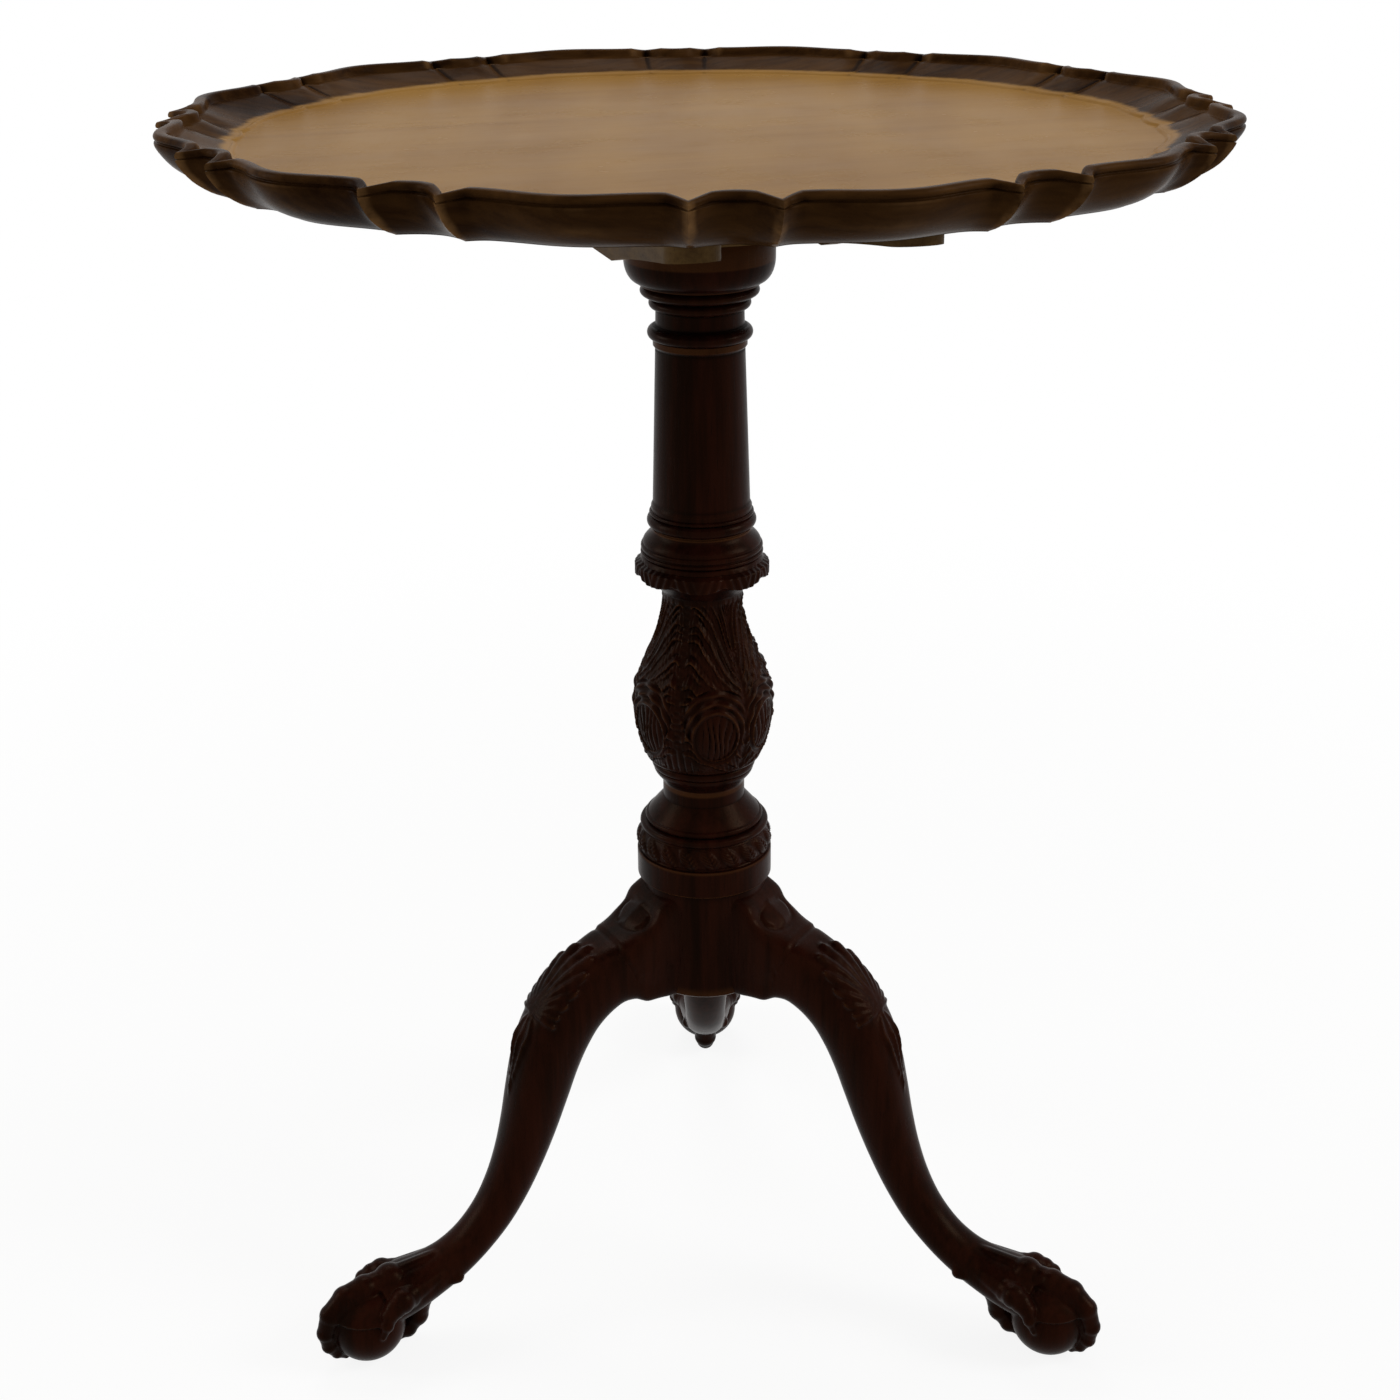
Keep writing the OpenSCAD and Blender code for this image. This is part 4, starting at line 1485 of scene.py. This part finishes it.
@dataclass
class CabrioleLeg:
    """A cabriole leg with a carved knee and a claw-and-ball foot."""

    socket_r: float = 37.0
    reach: float = 235.0
    socket_z: float = 195.0
    half_w: float = 20.5
    ankle_w: float = 13.5
    cap_z: float = 263.9
    cap_run: float = 76.0
    cap_edge: float = 66.0
    boss_run: float = 48.5
    boss_z: float = 244.5
    boss_w: float = 12.5
    boss_h: float = 8.8
    boss_t: float = 3.6
    leaf_long: float = 40.0
    leaf_short: float = 20.0
    face_r: float = 36.0
    root_run: float = 48.0
    knee_share: float = 0.787
    cut_z: float = 0.02
    around: int = 144
    along: int = 300
    voxel: float = 0.85
    foot: ClawFoot = field(default_factory=ClawFoot)
    # shares of run and height, half depth in mm, share of the width, squareness and lean
    line: tuple[tuple[float, ...], ...] = (
        (-0.051, 1.165, 35.0, 1.00, 9, 0), (0.015, 1.150, 30.5, 1.00, 9, 0),
        (0.038, 1.132, 26.6, 1.00, 9, 0), (0.068, 1.120, 24.1, 1.00, 8, 0),
        (0.108, 1.115, 20.6, 1.00, 5, 0.4), (0.164, 1.103, 19.9, 1.00, 3.6, 0.8),
        (0.231, 1.069, 20.8, 0.99, 3.0, 1), (0.292, 1.014, 21.3, 0.97, 2.7, 1),
        (0.338, 0.942, 21.2, 0.92, 2.5, 1), (0.374, 0.856, 20.2, 0.82, 2.4, 1),
        (0.405, 0.755, 18.8, 0.68, 2.3, 1), (0.438, 0.645, 16.9, 0.50, 2.2, 1),
        (0.474, 0.545, 15.2, 0.32, 2.1, 1), (0.518, 0.450, 13.6, 0.16, 2.1, 1),
        (0.574, 0.362, 12.4, 0.04, 2.1, 1), (0.646, 0.288, 11.7, 0.00, 2.1, 1),
        (0.723, 0.238, 12.0, 0.12, 2.1, 1), (0.800, 0.211, 13.2, 0.40, 2.1, 1),
        (0.872, 0.196, 14.8, 0.66, 2.2, 1), (0.953, 0.176, 14.8, 0.70, 2.2, 1),
    )

    def stations(self) -> tuple[Array, Array]:
        """The leg's line, drawn smoothly and evenly spaced.

        Returns:
            Rows of run, height, half depth, half width, squareness and lean, and each row's way
            along the leg in mm.
        """
        raw = np.array([
            (
                self.socket_r + (self.reach - self.socket_r) * s[0], self.socket_z * s[1], s[2],
                self.ankle_w + (self.half_w - self.ankle_w) * s[3], s[4], s[5],
            )
            for s in self.line
        ])
        steps = np.linspace(0, len(raw) - 1, 40 * (len(raw) - 1) + 1)
        cell = np.minimum(steps.astype(int), len(raw) - 2)
        share = (steps - cell)[:, None]
        a, b = raw[cell], raw[cell + 1]
        before, after = raw[np.maximum(cell - 1, 0)], raw[np.minimum(cell + 2, len(raw) - 1)]
        fine = curved(before, a, b, after, share)
        fine[:, 5] = np.clip(fine[:, 5], 0, 1)
        gaps = np.hypot(np.diff(fine[:, 0]), np.diff(fine[:, 1]))
        way = np.concatenate([[0], np.cumsum(gaps)])
        even = np.linspace(0, way[-1], self.along + 1)
        return np.stack([np.interp(even, way, column) for column in fine.T], axis=1), even

    def knee_carving(self, up: Array, side: Array) -> Array:
        """The acanthus leaf that drapes the knee, with its tail.

        Args:
            up: Way up the leg from where the leaf's veins meet, in mm.
            side: Way round the leg from its ridge, in mm.

        Returns:
            The carving's height in mm.
        """
        # lobes that fan out from the veins' meeting point
        ring = np.hypot(up, side)
        angle = np.degrees(np.arctan2(np.abs(side), up))
        lobe = angle / 15.0
        rounded = np.abs(np.cos(math.pi * lobe)) ** 0.6
        limit = self.leaf_long - (self.leaf_long - self.leaf_short) * smoothstep(0, 82, angle)
        limit = limit * (0.84 + 0.16 * rounded)
        share = ring / limit
        body = smoothstep(1.0, 0.94, share) * smoothstep(101, 94, angle)
        rise = 0.9 + 2.2 * share ** 1.2
        nick = 0.15 * wave(ring / 6.0 + 0.3 * lobe)
        leaf = body * (rise * rounded + nick * share - 0.35 * share)
        leaf = leaf * smoothstep(99, 92, angle)
        # the ribbed tail below them
        tail_up = -up
        width = 1.0 + 8.5 * (1 - smoothstep(4, 50, tail_up)) ** 0.8 * smoothstep(-4, 12, tail_up)
        notch = 0.86 + 0.14 * np.abs(np.sin(tail_up / 8.5 * math.pi))
        tail = smoothstep(width * notch, width * notch - 1.2, np.abs(side))
        tail = tail * smoothstep(52, 44, tail_up) * smoothstep(-3, 3, tail_up)
        ribs = 0.6 + 0.4 * np.cos(3 * math.pi * side / width)
        swelling = 0.8 + 0.7 * smoothstep(9, 15, tail_up) * smoothstep(34, 16, tail_up)
        return np.maximum(leaf, tail * 1.9 * ribs * swelling)

    def cap_carving(self, run: Array, height: Array, across: Array) -> Array:
        """The shoulder's raised cap and its oval boss.

        Args:
            run: Distance from the pillar's axis in mm.
            height: Height in mm.
            across: Distance from the leg's plane in mm.

        Returns:
            The carving's height in mm.
        """
        step = self.cap_edge - run - 0.45 * np.clip(234.0 - height, 0, 40)
        upper = smoothstep(207.0, 222.0, height)
        cap = smoothstep(-0.4, 0.4, step) * upper
        groove = swell(step, -1.2, 0.9) * upper
        down = (run - self.boss_run) * 0.6 - (height - self.boss_z) * 0.8
        oval = np.hypot(across / self.boss_w, down / self.boss_h)
        top = smoothstep(226.0, 234.0, height) * smoothstep(37.5, 39.0, run)
        boss = np.clip(1 - oval ** 2, 0, 1) ** 0.5
        moat = swell(oval, 1.1, 0.1)
        return cap - groove * 0.9 + top * (self.boss_t * boss - 0.9 * moat)

    def place(self, turn: Array, share: Array) -> Array:
        """Places the leg's points, in mm, with the leg on +Y.

        Args:
            turn: Each point's turn round the section.
            share: Its share of the way along.

        Returns:
            The places in metres.
        """
        rows, way = self.stations()
        row = np.round(share * (len(rows) - 1)).astype(int)
        run, height, deep, wide, square, lean = rows[row].T
        before, after = rows[np.maximum(row - 2, 0)], rows[np.minimum(row + 2, len(rows) - 1)]
        du, dz = after[:, 0] - before[:, 0], (after[:, 1] - before[:, 1]) * lean
        length = np.hypot(du, dz)
        du, dz = du / length, dz / length
        # the section, a rounded rectangle that leans with the line
        c, s = np.cos(turn), np.sin(turn)
        x = wide * np.sign(c) * np.abs(c) ** (2 / square)
        y = deep * np.sign(s) * np.abs(s) ** (2 / square)
        full = ((row > 0) & (row < len(rows) - 1)).astype(float)
        side = wrapped(math.pi / 2 - np.arctan2(y, x)) * (wide + deep) / 2
        # the knee's leaf, the shoulder's cap, and the hollow that the leaf is sunk in
        meet = np.interp(self.knee_share, rows[::-1, 1] / self.reach, way[::-1])
        carving = self.knee_carving(meet - 5.0 - way[row], side)
        out_x, out_y = x / wide ** 2, y / deep ** 2
        out = np.hypot(out_x, out_y) + 1e-9
        cap = self.cap_carving(run - y * dz, height + y * du, x)
        sunk = 1.6 * swell(way[row] - meet, -22.0, 24.0) * smoothstep(-0.2, 0.6, y / deep)
        lift = (carving - sunk + np.where(run < self.cap_run, cap, 0.0)) * full
        x = x * full + out_x / out * lift
        y = y * full + out_y / out * lift
        return np.stack([x, run - y * dz, height + y * du], axis=1) * MM

    def trim(self, obj: Piece) -> None:
        """Cuts the foot flat on the floor, and the shoulder and root flat at the pillar.

        Args:
            obj: The leg.
        """
        Bench.cut_level(obj, (0, 0, self.cut_z * MM))
        obj.data.validate()
        places = Bench.read(obj.data.vertices, "co")
        cap_z, floor = self.cap_z * MM, self.socket_z * MM
        outer = np.hypot(places[:, 0], places[:, 1]) > self.face_r * MM
        places[:, 2] = np.where(outer & (places[:, 2] > cap_z), cap_z, places[:, 2])
        root = (places[:, 1] < self.root_run * MM) & (places[:, 2] < floor)
        places[:, 2] = np.where(root, floor, places[:, 2])
        Bench.set_points(obj, places)

    def build(self, finish: Material) -> list[Piece]:
        """Builds one leg and turns two copies of it to their places.

        Args:
            finish: The polished mahogany.

        Returns:
            The three legs.
        """
        limb = Bench.pulled_ball("limb", self.around, self.along, self.place)
        leg = Bench.join("leg_back_carved", [limb, *self.foot.build()])
        Bench.melt(leg, self.voxel * MM, 4)
        self.trim(leg)
        Bench.smooth(leg, 60.0)
        legs = [leg]
        for name, turn in (("leg_left_carved", 120.0), ("leg_right_carved", -120.0)):
            Bench.take(leg)
            bpy.ops.object.duplicate()
            copy = bpy.context.object
            copy.name = name
            copy.rotation_euler = (0.0, 0.0, math.radians(turn))
            legs.append(Bench.settle(copy))
        for obj, node in zip(legs, ("leg_back", "leg_left", "leg_right")):
            Bench.mark_hollows(obj, 6, 0.0005)
            obj.data.materials.clear()
            obj.data.materials.append(finish)
            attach(obj, Body.BASE.value)
            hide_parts(node)
        return legs


@dataclass
class Fittings:
    """The gear under the top: the CAD's own pieces, given their finishes."""

    under_wood: tuple[str, ...] = ("bearer_left", "bearer_right", "tilt_block", "block_wedges")
    brass: tuple[str, ...] = (
        "catch_plate", "catch_bolt", "catch_knob", "catch_spring", "catch_plate_screws",
        "catch_keeper", "keeper_screws", "spring_rivet",
    )
    iron: tuple[str, ...] = ("bearer_screws", "base_strap", "base_strap_screws")

    def dress(self, nodes: dict[str, Piece]) -> None:
        """Gives each node its finish.

        Args:
            nodes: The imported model's nodes.
        """
        along = Mahogany(
            "bearer_wood", srgb(66, 48, 28), srgb(92, 71, 42), srgb(126, 102, 66),
            turn=(math.radians(90.0), 0.0, 0.0), roughness=0.5, wear_and_highlight=0.3,
        ).build()
        block = Mahogany(
            "block_wood", srgb(80, 60, 36), srgb(108, 84, 52), srgb(140, 116, 78),
            turn=(0.0, math.radians(90.0), 0.0), roughness=0.52, wear_and_highlight=0.3,
        ).build()
        brass = AgedMetal("aged_brass", srgb(158, 126, 74), srgb(104, 78, 44)).build()
        iron = AgedMetal("black_iron", srgb(62, 58, 54), srgb(34, 28, 24), 0.55).build()
        pairs = [(n, along if n.startswith("bearer") else block) for n in self.under_wood]
        pairs += [(n, brass) for n in self.brass] + [(n, iron) for n in self.iron]
        for name, finish in pairs:
            obj = nodes[name]
            obj.data.materials.clear()
            obj.data.materials.append(finish)


# Stage


@dataclass(frozen=True)
class Studio:
    """The floor, lights and camera."""

    lens: float = 54.0
    pitch: float = 23.3
    roll: float = -0.50
    place: tuple[float, float, float] = (-0.0018, -1.124, 0.858)
    floor_size: float = 60.0
    floor_z: float = -0.0004
    floor_glow: float = 0.88
    room_light: float = 0.42
    lamps: tuple[tuple[object, ...], ...] = (
        ("key", (2.1, -0.35, 1.6), (0, 0, 0.42), (0.9, 1.2), 31.0),
        ("fill", (-2.1, 0.0, 1.2), (0, 0, 0.45), (0.8, 1.5), 18.0),
        ("back", (-0.5, 1.6, 2.8), (0, 0, 0.5), (1.6, 1.0), 21.0),
    )

    def camera(self) -> None:
        """Sets the camera at the photograph's viewing angle."""
        data = bpy.data.cameras.new("view")
        data.lens, data.sensor_width = self.lens, 36.0
        data.clip_start, data.clip_end = 0.05, 30.0
        obj = bpy.data.objects.new("view", data)
        pitch, roll = math.radians(self.pitch), math.radians(self.roll)
        ahead = Vector((0.0, math.cos(pitch), -math.sin(pitch)))
        up, right = Vector((0.0, math.sin(pitch), math.cos(pitch))), Vector((1.0, 0.0, 0.0))
        across = right * math.cos(roll) + up * math.sin(roll)
        over = up * math.cos(roll) - right * math.sin(roll)
        turn = Matrix((across, over, -ahead)).transposed()
        obj.matrix_world = Matrix.Translation(self.place) @ turn.to_4x4()
        bpy.context.scene.collection.objects.link(obj)
        bpy.context.scene.camera = obj

    def floor(self) -> None:
        """Lays a plain pale floor."""
        Bench.clear()
        bpy.ops.mesh.primitive_plane_add(size=self.floor_size, location=(0, 0, self.floor_z))
        obj = bpy.context.object
        obj.name = "floor"
        sheet = ShaderSheet(bpy.data.materials.new("pale_floor"))
        seen = sheet.add("ShaderNodeLightPath", output="Is Camera Ray")
        glossy = sheet.add("ShaderNodeLightPath", output="Is Glossy Ray")
        matt = sheet.add("ShaderNodeBsdfDiffuse", None, {"Color": (0.86, 0.86, 0.86, 1)})
        glow = sheet.add("ShaderNodeEmission", None, {"Color": (1, 1, 1, 1)})
        length = {"operation": "LENGTH"}
        away = sheet.add("ShaderNodeVectorMath", length, {0: sheet.place()}, "Value")
        near = self.floor_glow
        share = (seen * (away.step(0.5, 1.5) * (1 - near) + near) + glossy * near).kept()
        mixed = sheet.add("ShaderNodeMixShader", None, {0: share, 1: matt, 2: glow})
        sheet.add("ShaderNodeOutputMaterial", None, {"Surface": mixed})
        obj.data.materials.append(sheet.owner)

    def world(self) -> None:
        """Lights the room evenly, with a white background for the camera, gloss and glass."""
        sheet = ShaderSheet(bpy.data.worlds.new("room"))
        rays = [
            sheet.add("ShaderNodeLightPath", output=f"Is {kind} Ray")
            for kind in ("Camera", "Glossy", "Transmission")
        ]
        seen = (rays[0] + rays[1] + rays[2]).kept()
        light = {"Color": (1.0, 0.985, 0.96, 1.0), "Strength": self.room_light}
        soft = sheet.add("ShaderNodeBackground", None, light)
        white = sheet.add("ShaderNodeBackground", None, {"Color": (1, 1, 1, 1)})
        mixed = sheet.add("ShaderNodeMixShader", None, {0: seen, 1: soft, 2: white})
        sheet.add("ShaderNodeOutputWorld", None, {"Surface": mixed})
        bpy.context.scene.world = sheet.owner

    @staticmethod
    def lamp(
        name: str, place: Sequence[float], aim: Sequence[float], size: tuple[float, float],
        power: float,
    ) -> None:
        """Hangs a soft rectangular lamp.

        Args:
            name: Its name.
            place: Where it hangs.
            aim: Where it points.
            size: Its width and height in metres.
            power: Its power in watts.
        """
        data = bpy.data.lights.new(name, "AREA")
        data.shape, data.size, data.size_y, data.energy = "RECTANGLE", *size, power
        obj = bpy.data.objects.new(name, data)
        obj.location = place
        way = Vector(aim) - Vector(place)
        obj.rotation_euler = way.to_track_quat("-Z", "Y").to_euler()
        bpy.context.scene.collection.objects.link(obj)

    def build(self) -> None:
        """Builds the stage."""
        self.camera()
        self.floor()
        self.world()
        for lamp in self.lamps:
            self.lamp(*lamp)


def main() -> None:
    """Builds the table's dress in order and reports each piece."""
    logging.basicConfig(level=logging.INFO, format="%(message)s")
    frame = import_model()
    Studio().build()
    bpy.context.scene.view_settings.view_transform = "Standard"
    polish = Mahogany("dark_mahogany", srgb(14, 4, 2), srgb(35, 12, 6), srgb(68, 40, 20)).build()
    pieces: list[Piece] = [PieCrustTop().build()]
    pieces += CarvedPillar().build(polish)
    pieces += CabrioleLeg().build(polish)
    Fittings().dress(frame["nodes"])
    for piece in pieces:
        LOG.info("%s: %d faces", piece.name, len(piece.data.polygons))


if __name__ == "__main__":
    main()
